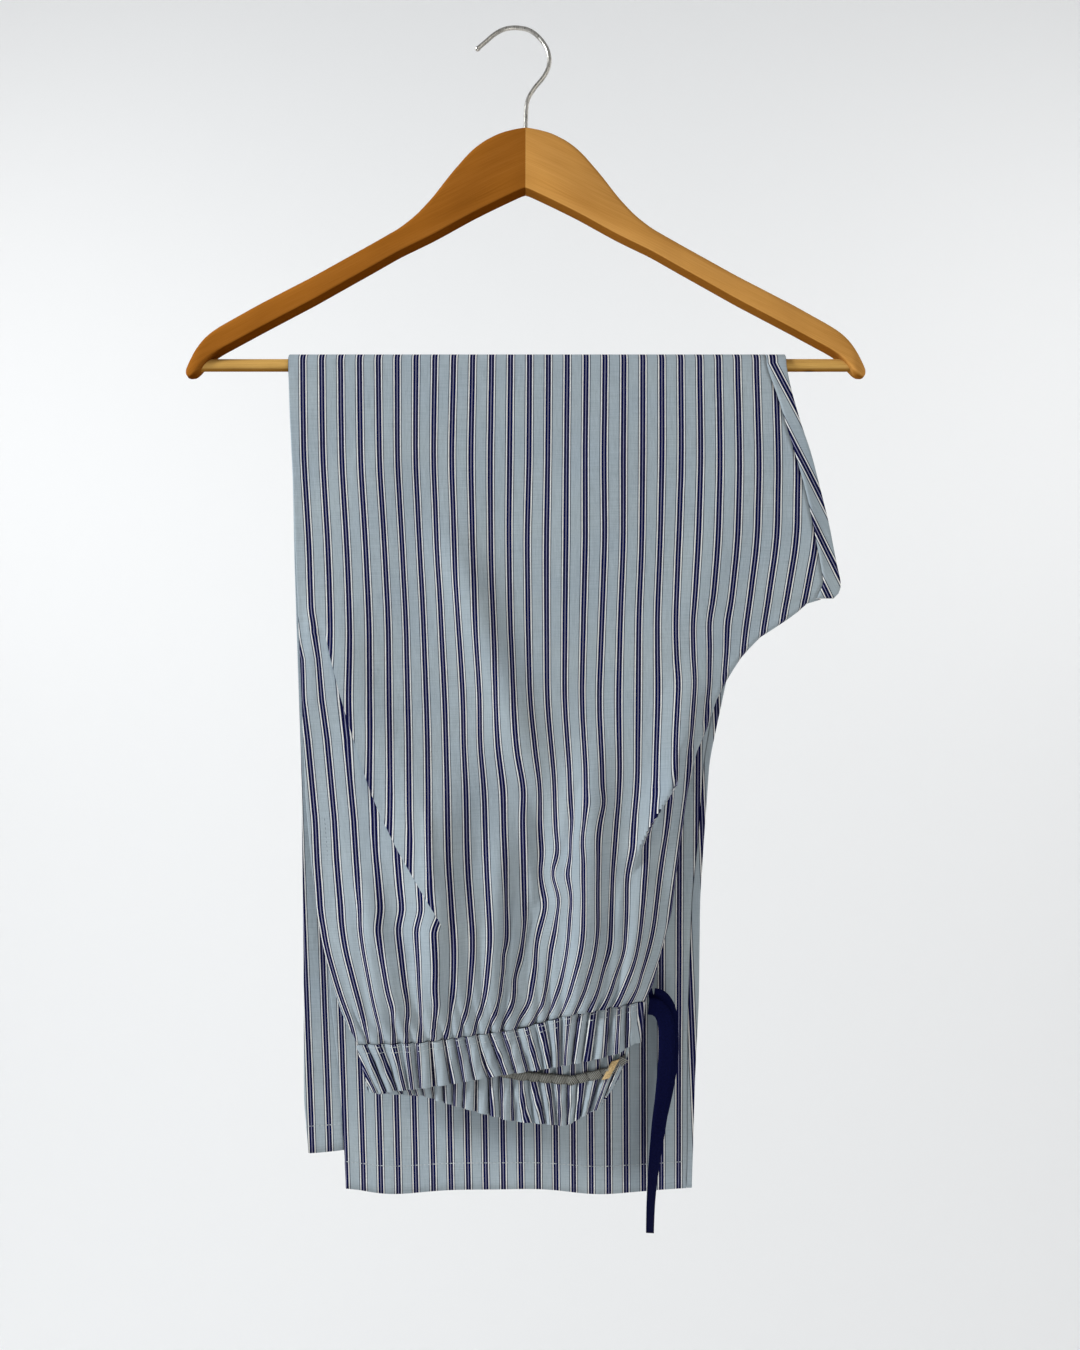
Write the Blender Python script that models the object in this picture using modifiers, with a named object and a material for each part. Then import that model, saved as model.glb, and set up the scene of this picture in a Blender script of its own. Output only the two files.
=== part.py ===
"""Striped pyjama trousers, folded in half lengthwise and hung over the bar of a wooden hanger.

Metres, +Z up. The origin is the inside top of the hook, where a nail or a rail carries the whole
thing. The front looks along -Y. The waist hangs down in front of the bar and the legs hang behind.
From front to back the four plies in front of the bar are left front, left back, right back and
right front. Behind the bar they come in the other order.
"""

import math

import bmesh
import bpy
import numpy as np
from mathutils import Vector

MM = 0.001

# Hanger
BAR_RADIUS = 4.1
BAR_Z = -221.4
BAR_LEFT_X = -214.0
BAR_RIGHT_X = 221.5
ARM_CENTRE_X = 4.4
ARM_DEPTH = 15.0
ARM_CORNER = 4.5
HANGER_TILT = 0.125
HANGER_SWEEP = 27.7
SWEEP_REACH = 210.0
SWEEP_POWER = 1.3
HOOK_WIRE = 2.9
HOOK_RADIUS = 20.9
HOOK_CENTRE_X = 0.0
SHANK_X = 4.6
SHANK_DEPTH = 14.0

# Cloth
GAP = 0.3
SEAM_DROP = 0.7
WALL = 1.0
CASING_WALL = 1.5
PITCH = WALL + GAP
BAR_LAYER = BAR_RADIUS + GAP + WALL / 2
THIGH_PITCH = 1.9
WAIST_PITCH = 5.0
WAIST_EDGE_PITCH = 2.6
COLUMNS = 14
ARC_STEPS = 8
LEG_ROWS = 9
HEM_PITCH = 3.2
HEM_DRIFT = 5.0
CB_INSET = 4.0
GATHERS = 21
GATHER_DEPTH = 1.15
STEPS_PER_GATHER = 4

# Drawstring
RIBBON_WIDTH = 11.0
RIBBON_WALL = 1.0

# Side edge of the front block: height, x
SIDE_EDGE = (
    (-221.4, -150.7), (-298.4, -146.8), (-350.6, -144.7), (-402.9, -142.6), (-455.0, -140.4),
    (-506.9, -138.2), (-549.0, -134.1), (-590.8, -128.6), (-627.4, -119.3), (-651.7, -110.8),
    (-665.0, -101.9),
)
# Folded right edge of the thigh in front: height, x of the fold, width of the strip that wraps round
THIGH_FOLD = (
    (-221.4, 174.2, 13.0), (-242.8, 178.4, 9.6), (-263.1, 184.1, 9.4), (-279.4, 189.9, 10.2),
    (-307.3, 196.9, 9.8), (-325.8, 201.5, 10.3), (-356.3, 207.3, 10.5), (-368.9, 210.6, 11.6),
    (-373.0, 209.7, 10.3),
)
# Crotch curve and centre front edge: height, x
RISE_EDGE = (
    (-376.0, 198.0), (-378.4, 188.8), (-384.9, 181.5), (-390.5, 173.7), (-400.9, 157.7),
    (-408.7, 150.1), (-414.6, 144.9), (-423.7, 139.0), (-432.9, 133.7), (-442.3, 128.8),
    (-458.2, 123.9), (-475.8, 116.0), (-503.7, 109.7), (-550.2, 103.1), (-579.9, 99.4),
    (-609.5, 91.5), (-626.0, 87.5), (-637.1, 82.0), (-672.0, 75.0),
)
# Waist seam and bottom of the waistband by share of the width: front seam, front bottom, back seam,
# back bottom
WAIST_LINES = (
    (0 / 14, -664.8, -696.4, -667.5, -697.0), (3 / 14, -662.2, -691.6, -667.0, -698.5),
    (6 / 14, -657.0, -685.6, -678.0, -709.2), (8 / 14, -653.4, -681.6, -683.8, -714.6),
    (11 / 14, -642.8, -676.0, -687.5, -718.0), (13 / 14, -639.2, -670.3, -682.0, -707.0),
    (14 / 14, -637.1, -664.2, -672.0, -688.0),
)
CASING_LEFT_BOTTOM_X = -95.1
WAIST_DEPTH_Z = -660.0
CASING_RIGHT_BOTTOM_X = 79.0
BACK_CASING_RIGHT_BOTTOM_X = 63.8
# Right leg behind the bar: height, left edge, fold on the right, width of the strip
NEAR_LEG = (
    (-221.4, -151.5, 174.2, 13.0), (-349.1, -145.5, 153.7, 9.0), (-482.4, -136.0, 126.0, 3.2),
    (-533.1, -132.0, 122.6, 3.4), (-574.6, -129.5, 120.0, 5.0), (-642.9, -125.5, 119.4, 6.6),
    (-698.5, -119.5, 116.8, 4.6), (-743.5, -116.6, 115.6, 3.2), (-770.0, -115.3, 114.7, 3.0),
)
NEAR_HEM_Z = -770.0
# Left leg behind the bar: height, left edge, fold on the right, width of the strip
FAR_LEG = (
    (-221.4, -151.5, 174.2, 13.0), (-348.8, -149.0, 144.3, 9.0), (-482.7, -145.0, 114.5, 5.0),
    (-610.8, -144.0, 100.0, 4.0), (-712.4, -144.0, 93.0, 3.2), (-746.0, -140.7, 91.5, 3.0),
)
FAR_HEM_Z = -746.0
# Soft folds of the front block: x and height of the top, x and height of the bottom, width, height
# of the ridge (a negative one is a trough)
FRONT_FOLDS = (
    (-122.0, -385.0, -50.0, -584.0, 17.0, 2.8),
    (109.0, -480.0, 74.0, -570.0, 14.0, 2.4),
    (-45.0, -345.0, 2.0, -475.0, 24.0, 2.0),
    (-52.0, -530.0, -60.0, -650.0, 10.0, 2.2),
    (-12.0, -530.0, -14.0, -645.0, 10.0, 2.6),
    (10.0, -520.0, 12.0, -640.0, 10.0, -2.4),
    (34.0, -530.0, 38.0, -635.0, 10.0, 2.2),
)
# Soft folds of the hanging legs: the same columns
LEG_FOLDS = (
    (-60.0, -430.0, -70.0, -775.0, 26.0, 2.0),
    (15.0, -380.0, 8.0, -775.0, 28.0, -1.8),
    (75.0, -420.0, 68.0, -775.0, 22.0, 1.8),
)

# Half outline of the wooden arms: distance from the middle, top edge, lower edge
ARM_OUTLINE = (
    (0.0, -69.5, -111.8), (7.8, -70.7, -115.4), (17.2, -73.1, -119.8), (27.9, -78.5, -124.9),
    (36.3, -85.3, -129.1), (49.2, -100.4, -136.1), (60.2, -115.1, -141.9), (70.8, -126.5, -146.8),
    (81.6, -134.9, -151.7), (100.5, -145.2, -162.0), (138.3, -165.0, -182.1), (175.1, -182.6, -200.2),
    (201.9, -196.5, -213.7), (209.3, -201.4, -219.4), (214.6, -206.9, -226.5), (219.1, -213.5, -230.9),
    (222.3, -219.1, -230.6), (223.9, -223.5, -227.6),
)
# Centreline of the drawstring's long end: x, y, height, turn of its width in degrees
LONG_END = (
    (84.3, -13.0, -641.0, 20.0), (89.0, -13.5, -641.6, 20.0), (93.0, -13.8, -645.0, 14.0),
    (95.6, -13.8, -652.0, 10.0), (96.2, -13.4, -664.0, 8.0), (95.6, -12.8, -680.0, 10.0),
    (94.0, -12.2, -698.0, 14.0), (91.6, -11.8, -716.0, 22.0), (89.4, -11.6, -734.0, 32.0),
    (87.4, -11.6, -752.0, 42.0), (86.0, -11.8, -770.0, 48.0), (85.0, -12.0, -788.8, 52.0),
)
# Centreline of the short end, which hangs close behind the long one
SHORT_END = (
    (84.8, -9.4, -636.0, 20.0), (89.5, -9.6, -635.6, 18.0), (94.0, -9.8, -638.2, 12.0),
    (97.4, -10.0, -645.0, 6.0), (98.6, -10.2, -656.0, 2.0), (98.8, -10.0, -672.0, 0.0),
    (98.0, -9.2, -690.0, 4.0), (96.0, -8.2, -708.0, 10.0), (93.6, -7.4, -726.0, 16.0),
    (91.8, -7.0, -744.0, 22.0),
)

# Label tab inside the back waistband
LABEL_X = 55.0
LABEL_WIDTH = 6.5
LABEL_HEIGHT = 12.0
LABEL_WALL = 1.0

# Layers counted from the bar outwards
RIGHT_FRONT, RIGHT_BACK, LEFT_BACK, LEFT_FRONT = range(4)
MIDDLE_LAYER = 1.5


def column(table, position, index):
    """Read one column of a table at a height or share, straight between its rows."""
    keys = [row[0] for row in table]
    values = [row[index] for row in table]
    if keys[0] > keys[-1]:
        keys.reverse()
        values.reverse()
    return float(np.interp(position, keys, values))


def smooth_step(low, high, value):
    share = min(max((value - low) / (high - low), 0.0), 1.0)
    return share * share * (3.0 - 2.0 * share)


def fold_height(folds, x, z):
    """Add up the soft ridges and troughs, each a long bump that fades out at its ends."""
    total = 0.0
    for top_x, top_z, bottom_x, bottom_z, width, height in folds:
        share = (z - top_z) / (bottom_z - top_z)
        if not -0.25 < share < 1.25:
            continue
        fade = smooth_step(-0.25, 0.2, share) * (1.0 - smooth_step(0.8, 1.25, share))
        across = (x - (top_x + (bottom_x - top_x) * share)) / width
        total += height * fade * math.exp(-across * across)
    return total


def lens(edge, middle_pitch, edge_pitch):
    """Distance between plies: tight at both edges, the middle value elsewhere."""
    return edge_pitch + (middle_pitch - edge_pitch) * smooth_step(0.0, 34.0, edge)


def waist_pitch(z):
    thigh = PITCH + (THIGH_PITCH - PITCH) * smooth_step(-250.0, -340.0, z)
    return thigh + (WAIST_PITCH - THIGH_PITCH) * smooth_step(-430.0, -640.0, z)


def edge_pitch(z):
    return PITCH + (WAIST_EDGE_PITCH - PITCH) * smooth_step(-560.0, -640.0, z)


def hem_pitch(z):
    return PITCH + (HEM_PITCH - PITCH) * smooth_step(-330.0, -740.0, z)


def front_depth(layer, x, z, left, right):
    """Depth of a ply in front of the bar."""
    edge = max(min(x - left, right - x), 0.0)
    middle = waist_pitch(z)
    pitch = lens(edge, middle, edge_pitch(z))
    stack = BAR_LAYER + MIDDLE_LAYER * middle + (layer - MIDDLE_LAYER) * pitch
    folds = fold_height(FRONT_FOLDS, x, z) * smooth_step(-235.0, -300.0, z)
    return -stack - folds * smooth_step(0.0, 12.0, edge)


def back_depth(layer, x, z, left, right):
    """Depth of a ply behind the bar."""
    edge = max(min(x - left, right - x), 0.0)
    middle = hem_pitch(z)
    pitch = lens(edge, middle, PITCH)
    stack = BAR_LAYER + MIDDLE_LAYER * middle + (layer - MIDDLE_LAYER) * pitch
    drift = HEM_DRIFT * smooth_step(-300.0, -760.0, z)
    return stack + drift + fold_height(LEG_FOLDS, x, z) * smooth_step(0.0, 12.0, edge)


def waist_line(layer, share, bottom):
    """Height of the waist seam, or of the bottom of the band, at a share of the width."""
    is_back = layer in (LEFT_BACK, RIGHT_BACK)
    return column(WAIST_LINES, share, 1 + 2 * is_back + bottom)


def is_back_piece(layer):
    return layer in (LEFT_BACK, RIGHT_BACK)


def partner(layer):
    """The front piece that a back piece is sewn to."""
    return LEFT_FRONT if layer == LEFT_BACK else RIGHT_FRONT


def leg_table(layer):
    return FAR_LEG if layer in (LEFT_FRONT, LEFT_BACK) else NEAR_LEG


def hem_height(layer):
    return FAR_HEM_Z if layer in (LEFT_FRONT, LEFT_BACK) else NEAR_HEM_Z


def row_heights_front():
    """Heights of the rows at the right edge, close together where the crotch curves."""
    thigh = [-245.0, -275.0, -308.0, -340.0, -370.0]
    crotch = [-376.2, -379.5, -386.0, -395.0, -408.0, -424.0, -445.0]
    rise = [-475.0, -505.0, -535.0, -565.0, -595.0, -620.0]
    return thigh + crotch + rise


def common_right(z):
    """Right edge that all plies share: the inseam above the crotch, the centre back below it."""
    if z > RISE_EDGE[0][0]:
        return column(THIGH_FOLD, z, 1) - column(THIGH_FOLD, z, 2)
    return column(RISE_EDGE, z, 1) - CB_INSET


def front_row(layer, right_z):
    """Points of one row in front of the bar, from the side edge to the right edge."""
    seam_right_z = waist_line(layer, 1.0, 0)
    part = (right_z - BAR_Z) / (seam_right_z - BAR_Z)
    left = column(SIDE_EDGE, BAR_Z + (waist_line(layer, 0.0, 0) - BAR_Z) * part, 1)
    right = common_right(right_z)
    is_tube = right_z > RISE_EDGE[0][0]
    outer = column(THIGH_FOLD, right_z, 1) if is_tube else right
    points = []
    for step in range(COLUMNS + 1):
        share = step / COLUMNS
        x = left + (right - left) * share
        z = BAR_Z + (waist_line(layer, share, 0) - BAR_Z) * part
        points.append((x, front_depth(layer, x, z, left, outer), z))
    if is_tube and is_back_piece(layer):
        other_y = front_depth(partner(layer), outer, right_z, left, outer)
        own_y = front_depth(layer, outer, right_z, left, outer)
        points += wrap_strip(right, outer, own_y, other_y, right_z)
    elif not is_tube and not is_back_piece(layer):
        points += centre_front_edge(layer, points[-1], right_z, WALL)
    return points


def wrap_strip(inseam, fold, own_y, other_y, z):
    """Points that carry a back piece round the fold and on to the inseam."""
    return [
        (fold, own_y, z), (fold + PITCH / 2, (own_y + other_y) / 2, z),
        (fold, other_y, z), (inseam + GAP, other_y, z),
    ]


def centre_front_edge(layer, last, z, wall):
    """Points that bring a front piece round the back pieces to the centre front seam."""
    x, y, point_z = last
    middle_y = -(BAR_LAYER + MIDDLE_LAYER * waist_pitch(z))
    side = 1.0 if layer == LEFT_FRONT else -1.0
    return [
        (x + CB_INSET * 0.35, y, point_z),
        (x + CB_INSET, middle_y - side * (wall + GAP) / 2, point_z),
    ]


def arc_row(layer, index):
    """Points of one row on the bar."""
    angle = math.pi * (1.0 - index / ARC_STEPS)
    radius = BAR_LAYER + layer * PITCH
    left = column(NEAR_LEG, BAR_Z, 1)
    fold = column(NEAR_LEG, BAR_Z, 2)
    right = fold - column(NEAR_LEG, BAR_Z, 3)
    y = radius * math.cos(angle)
    z = BAR_Z + radius * math.sin(angle)
    points = [(left + (right - left) * step / COLUMNS, y, z) for step in range(COLUMNS + 1)]
    if is_back_piece(layer):
        other = BAR_LAYER + partner(layer) * PITCH
        middle = (radius + other) / 2
        points += [
            (fold, y, z),
            (fold + PITCH / 2, middle * math.cos(angle), BAR_Z + middle * math.sin(angle)),
            (fold, other * math.cos(angle), BAR_Z + other * math.sin(angle)),
            (right + GAP, other * math.cos(angle), BAR_Z + other * math.sin(angle)),
        ]
    return points


def leg_row(layer, index):
    """Points of one row of a leg behind the bar."""
    table = leg_table(layer)
    z = BAR_Z + (hem_height(layer) - BAR_Z) * index / LEG_ROWS
    left = column(table, z, 1)
    fold = column(table, z, 2)
    right = fold - column(table, z, 3)
    points = []
    for step in range(COLUMNS + 1):
        x = left + (right - left) * step / COLUMNS
        points.append((x, back_depth(layer, x, z, left, fold), z))
    if is_back_piece(layer):
        own_y = back_depth(layer, fold, z, left, fold)
        other_y = back_depth(partner(layer), fold, z, left, fold)
        points += wrap_strip(right, fold, own_y, other_y, z)
    return points


def ply_rows(layer):
    """Rows of points of one ply, from the waist seam over the bar to the hem."""
    heights = [waist_line(layer, 1.0, 0)] + row_heights_front()[::-1]
    if is_back_piece(layer):
        heights.insert(1, waist_line(partner(layer), 1.0, 0))
    rows = [front_row(layer, z) for z in heights]
    rows += [arc_row(layer, index) for index in range(ARC_STEPS + 1)]
    rows += [leg_row(layer, index) for index in range(1, LEG_ROWS + 1)]
    return rows


def sheet_mesh(name, rows, wall, mitred=True):
    """Join rows of points into an open sheet, as far across as both rows reach."""
    shape = bmesh.new()
    grid = [[shape.verts.new(Vector(point) * MM) for point in row] for row in rows]
    for here, there in zip(grid, grid[1:]):
        for step in range(min(len(here), len(there)) - 1):
            shape.faces.new((here[step], here[step + 1], there[step + 1], there[step]))
    loose = [vertex for vertex in shape.verts if not vertex.link_faces]
    for vertex in loose:
        shape.verts.remove(vertex)
    mesh = bpy.data.meshes.new(name)
    shape.to_mesh(mesh)
    shape.free()
    thing = bpy.data.objects.new(name, mesh)
    solid = thing.modifiers.new("Wall", "SOLIDIFY")
    solid.thickness = wall * MM
    solid.offset = 0.0
    solid.use_even_offset = mitred
    solid.use_quality_normals = True
    return thing


def make_casing(name, layer):
    """One gathered quarter of the waistband, hung from the waist seam of its piece."""
    steps = GATHERS * STEPS_PER_GATHER
    seam_right_z = waist_line(layer, 1.0, 0)
    top_left = column(SIDE_EDGE, waist_line(layer, 0.0, 0), 1)
    top_right = common_right(seam_right_z)
    low_right = BACK_CASING_RIGHT_BOTTOM_X if is_back_piece(layer) else CASING_RIGHT_BOTTOM_X - CB_INSET
    rows = []
    for part in (0.0, 1.0):
        left = top_left + (CASING_LEFT_BOTTOM_X - top_left) * part
        right = top_right + (low_right - top_right) * part
        points = []
        for step in range(steps + 1):
            share = step / steps
            top = waist_line(layer, share, 0) - SEAM_DROP
            low = waist_line(layer, share, 1)
            x = left + (right - left) * share
            z = top + (low - top) * part
            edge = min(share, 1.0 - share) * (right - left)
            wave = math.sin(2.0 * math.pi * GATHERS * share)
            wave *= 0.8 + 0.2 * math.sin(7.0 * share + 2.0 * part)
            y = front_depth(layer, x, WAIST_DEPTH_Z, left, right)
            points.append((x, y + smooth_step(0.0, 6.0, edge) * GATHER_DEPTH * wave, z))
        if not is_back_piece(layer):
            points += centre_front_edge(layer, points[-1], WAIST_DEPTH_Z, CASING_WALL)
        rows.append(points)
    return sheet_mesh(name, rows, CASING_WALL, False)


def make_ribbon(name, route):
    """A flat ribbon along its centreline, its width turned as the route says."""
    shape = bmesh.new()
    sections = []
    for index, (x, y, z, turn) in enumerate(route):
        centre = Vector((x, y, z))
        before = Vector(route[max(index - 1, 0)][:3])
        after = Vector(route[min(index + 1, len(route) - 1)][:3])
        along = (after - before).normalized()
        angle = math.radians(turn)
        across = Vector((math.cos(angle), math.sin(angle), 0.0))
        across = (across - along * across.dot(along)).normalized()
        if abs(along.z) < 0.75:
            across = along.cross(Vector((0.0, 1.0, 0.0))).normalized()
        normal = along.cross(across).normalized()
        corners = []
        for side, face in ((-1, -1), (1, -1), (1, 1), (-1, 1)):
            point = centre + across * side * RIBBON_WIDTH / 2 + normal * face * RIBBON_WALL / 2
            corners.append(shape.verts.new(point * MM))
        sections.append(corners)
    for here, there in zip(sections, sections[1:]):
        for step in range(4):
            following = (step + 1) % 4
            shape.faces.new((here[step], here[following], there[following], there[step]))
    shape.faces.new(sections[0][::-1])
    shape.faces.new(sections[-1])
    bmesh.ops.recalc_face_normals(shape, faces=shape.faces)
    mesh = bpy.data.meshes.new(name)
    shape.to_mesh(mesh)
    shape.free()
    return bpy.data.objects.new(name, mesh)


def hanger_point(x_out, side, depth, z):
    """A point of the wooden hanger: tilted about the hook, its ends swept back."""
    sweep = HANGER_SWEEP * (x_out / SWEEP_REACH) ** SWEEP_POWER
    return Vector((ARM_CENTRE_X + side * x_out, HANGER_TILT * z + sweep + depth, z))


def make_arm(name, side):
    """One arm as a loft of rounded rectangles from the mitre to the tip."""
    shape = bmesh.new()
    sections = []
    for out, top, low in ARM_OUTLINE:
        corner = min(ARM_CORNER, (top - low) * 0.3)
        half = ARM_DEPTH / 2
        if out > 214.0:
            half -= (out - 214.0) * 0.25
        x_out = max(out, GAP / 2)
        bend = corner * (1.0 - math.sqrt(0.5))
        ring = (
            (-half, low + corner), (-half, top - corner), (-half + bend, top - bend),
            (-half + corner, top), (half - corner, top), (half - bend, top - bend),
            (half, top - corner), (half, low + corner), (half - bend, low + bend),
            (half - corner, low), (-half + corner, low), (-half + bend, low + bend),
        )
        sections.append([shape.verts.new(hanger_point(x_out, side, d, z) * MM) for d, z in ring])
    for here, there in zip(sections, sections[1:]):
        for step in range(len(here)):
            following = (step + 1) % len(here)
            shape.faces.new((here[step], here[following], there[following], there[step]))
    shape.faces.new(sections[0][::-1])
    shape.faces.new(sections[-1])
    bmesh.ops.recalc_face_normals(shape, faces=shape.faces)
    mesh = bpy.data.meshes.new(name)
    shape.to_mesh(mesh)
    shape.free()
    return bpy.data.objects.new(name, mesh)


def make_rod(name, start, end, radius, vertices):
    """A straight round rod between two points."""
    first = Vector(start) * MM
    last = Vector(end) * MM
    shape = bmesh.new()
    bmesh.ops.create_cone(
        shape, cap_ends=True, segments=vertices, radius1=radius * MM, radius2=radius * MM,
        depth=(last - first).length,
    )
    mesh = bpy.data.meshes.new(name)
    shape.to_mesh(mesh)
    shape.free()
    rod = bpy.data.objects.new(name, mesh)
    rod.location = (first + last) / 2
    rod.rotation_euler = (last - first).to_track_quat("Z", "Y").to_euler()
    return rod


def hook_route():
    """Centreline of the hook: flared tip, round bight, and an easy bend into the shank."""
    centre_z = HOOK_WIRE / 2 - HOOK_RADIUS
    points = [(-27.4, -13.4), (-24.4, -10.9), (-21.3, -7.6)]
    for degrees in range(148, -33, -12):
        angle = math.radians(degrees)
        x = HOOK_CENTRE_X + HOOK_RADIUS * math.cos(angle)
        points.append((x, centre_z + HOOK_RADIUS * math.sin(angle)))
    points += [(12.4, -38.0), (8.4, -43.8), (5.8, -49.6), (4.8, -56.0), (SHANK_X, -63.0)]
    points.append((SHANK_X, shank_end_z()))
    return [Vector((x, HANGER_TILT * z, z)) for x, z in points]


def shank_end_z():
    return ARM_OUTLINE[0][1] - SHANK_DEPTH


def make_hook(name):
    curve = bpy.data.curves.new(name, "CURVE")
    curve.dimensions = "3D"
    curve.bevel_depth = HOOK_WIRE / 2 * MM
    curve.bevel_resolution = 2
    curve.use_fill_caps = True
    spline = curve.splines.new("POLY")
    route = hook_route()
    spline.points.add(len(route) - 1)
    for point, place in zip(spline.points, route):
        point.co = (*(place * MM), 1.0)
    return bpy.data.objects.new(name, curve)


def make_label(name):
    """A blank tab sewn inside the back waistband, close to the centre back."""
    shape = bmesh.new()
    bmesh.ops.create_cube(shape, size=1.0)
    for vertex in shape.verts:
        vertex.co.x *= LABEL_WIDTH * MM
        vertex.co.y *= LABEL_WALL * MM
        vertex.co.z *= LABEL_HEIGHT * MM
    mesh = bpy.data.meshes.new(name)
    shape.to_mesh(mesh)
    shape.free()
    tab = bpy.data.objects.new(name, mesh)
    share = 0.92
    seam_z = waist_line(LEFT_BACK, share, 0)
    left = column(SIDE_EDGE, seam_z, 1)
    depth = front_depth(LEFT_BACK, LABEL_X, WAIST_DEPTH_Z, left, common_right(seam_z))
    clear = CASING_WALL / 2 + GATHER_DEPTH + LABEL_WALL / 2 + GAP
    tab.location = (LABEL_X * MM, (depth - clear) * MM, (seam_z + 1.0) * MM)
    return tab


def finish(name, red, green, blue, roughness, metallic):
    material = bpy.data.materials.new(name)
    material.use_nodes = True
    shader = material.node_tree.nodes["Principled BSDF"]
    shader.inputs["Base Color"].default_value = (red, green, blue, 1.0)
    shader.inputs["Roughness"].default_value = roughness
    shader.inputs["Metallic"].default_value = metallic
    return material


def cut(thing, cutter):
    boolean = thing.modifiers.new(cutter.name, "BOOLEAN")
    boolean.operation = "DIFFERENCE"
    boolean.object = cutter


def main():
    for thing in list(bpy.data.objects):
        bpy.data.objects.remove(thing, do_unlink=True)
    parts = bpy.data.collections.new("pyjama_trousers_on_hanger")
    cutters = bpy.data.collections.new("cutters")
    bpy.context.scene.collection.children.link(parts)
    bpy.context.scene.collection.children.link(cutters)

    cloth = finish("striped_cotton", 0.40, 0.45, 0.48, 0.85, 0.0)
    ribbon = finish("navy_ribbon", 0.01, 0.012, 0.03, 0.7, 0.0)
    wood = finish("varnished_wood", 0.45, 0.24, 0.10, 0.4, 0.0)
    steel = finish("steel_wire", 0.5, 0.5, 0.47, 0.35, 1.0)
    tab_cloth = finish("beige_tape", 0.55, 0.40, 0.22, 0.9, 0.0)

    made = []
    for name, side in (("hanger_arm_left", -1), ("hanger_arm_right", 1)):
        made.append((make_arm(name, side), wood))
    made.append((make_rod("hanger_bar", (BAR_LEFT_X, 0, BAR_Z), (BAR_RIGHT_X, 0, BAR_Z), BAR_RADIUS, 24), wood))
    made.append((make_hook("hanger_hook"), steel))
    for name, layer in (
        ("left_front_panel", LEFT_FRONT), ("left_back_panel", LEFT_BACK),
        ("right_back_panel", RIGHT_BACK), ("right_front_panel", RIGHT_FRONT),
    ):
        made.append((sheet_mesh(name, ply_rows(layer), WALL), cloth))
    for name, layer in (
        ("waistband_left_front", LEFT_FRONT), ("waistband_left_back", LEFT_BACK),
        ("waistband_right_back", RIGHT_BACK), ("waistband_right_front", RIGHT_FRONT),
    ):
        made.append((make_casing(name, layer), cloth))
    made.append((make_ribbon("drawstring_long_end", LONG_END), ribbon))
    made.append((make_ribbon("drawstring_short_end", SHORT_END), ribbon))
    made.append((make_label("label_tab"), tab_cloth))
    for thing, material in made:
        thing.data.materials.append(material)
        parts.objects.link(thing)

    hole = GAP + HOOK_WIRE / 2
    shank_low = shank_end_z() - GAP
    shank_top = ARM_OUTLINE[0][1] + 10.0
    socket = make_rod(
        "shank_socket", (SHANK_X, HANGER_TILT * shank_low, shank_low),
        (SHANK_X, HANGER_TILT * shank_top, shank_top), hole, 20,
    )
    bores = [socket]
    for name, end_x, inward in (("bar_socket_left", BAR_LEFT_X, 1), ("bar_socket_right", BAR_RIGHT_X, -1)):
        start = (end_x - inward * GAP, 0, BAR_Z)
        end = (end_x + inward * 30.0, 0, BAR_Z)
        bores.append(make_rod(name, start, end, BAR_RADIUS + GAP, 24))
    for cutter in bores:
        cutters.objects.link(cutter)
        cutter.hide_render = True
        cutter.display_type = "WIRE"
    left_arm, right_arm = made[0][0], made[1][0]
    cut(left_arm, bores[0])
    cut(left_arm, bores[1])
    cut(right_arm, bores[0])
    cut(right_arm, bores[2])


main()
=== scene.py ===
"""The looks of striped pyjama trousers that hang, folded in half, over the bar of a wooden hanger.

Sizes are in millimetres and turned into metres as meshes are made. The origin is the inside top of
the hook, +Z is up and the front looks along -Y. Each ply of cloth is a thin shell on the form of its
solid, with the gathers, creases and stripes of the real cotton.
"""

import math

import bmesh
import bpy
import numpy as np
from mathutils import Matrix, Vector


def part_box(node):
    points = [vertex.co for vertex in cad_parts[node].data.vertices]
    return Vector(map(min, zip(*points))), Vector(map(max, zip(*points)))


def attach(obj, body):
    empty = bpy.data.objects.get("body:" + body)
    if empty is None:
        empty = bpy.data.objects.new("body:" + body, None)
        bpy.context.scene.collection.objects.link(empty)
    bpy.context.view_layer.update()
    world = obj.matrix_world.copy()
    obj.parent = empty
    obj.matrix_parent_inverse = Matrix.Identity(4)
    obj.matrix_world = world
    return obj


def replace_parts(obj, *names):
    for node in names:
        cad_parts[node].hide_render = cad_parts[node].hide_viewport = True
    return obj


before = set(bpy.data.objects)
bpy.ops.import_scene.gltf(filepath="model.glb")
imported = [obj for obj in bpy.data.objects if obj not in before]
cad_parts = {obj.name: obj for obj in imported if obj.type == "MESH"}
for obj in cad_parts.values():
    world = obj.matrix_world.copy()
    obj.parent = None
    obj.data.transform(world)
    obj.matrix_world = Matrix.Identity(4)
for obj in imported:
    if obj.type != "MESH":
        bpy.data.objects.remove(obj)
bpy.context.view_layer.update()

MM = 0.001
ROOT = "root"

# Camera and photograph
CAMERA_DISTANCE = 850.0
CAMERA_X = 13.86
CAMERA_Z = -425.7
VIEW_HEIGHT = 891.0
SENSOR = 36.0

# Hanger
BAR_RADIUS = 4.1
BAR_Z = -221.4
BAR_LEFT_X = -214.0
BAR_RIGHT_X = 221.5
ARM_CENTRE_X = 4.4
ARM_DEPTH = 15.0
ARM_CORNER = 4.8
ARM_LOWER_CORNER = 1.3
HANGER_TILT = 0.125
ARM_REACH = 223.9
ARM_TIP_START = 214.0
ARM_TIP_LENGTH = 11.0
GRAIN_SLOPE = 0.47
BAR_SIDES = 32
WIRE_SIDES = 20
HANGER_SWEEP = 27.7
SWEEP_REACH = 210.0
SWEEP_POWER = 1.3
MITRE_GAP = 0.03
HOOK_WIRE = 2.9
SHANK_X = 4.6
SHANK_DEPTH = 14.0

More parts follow.
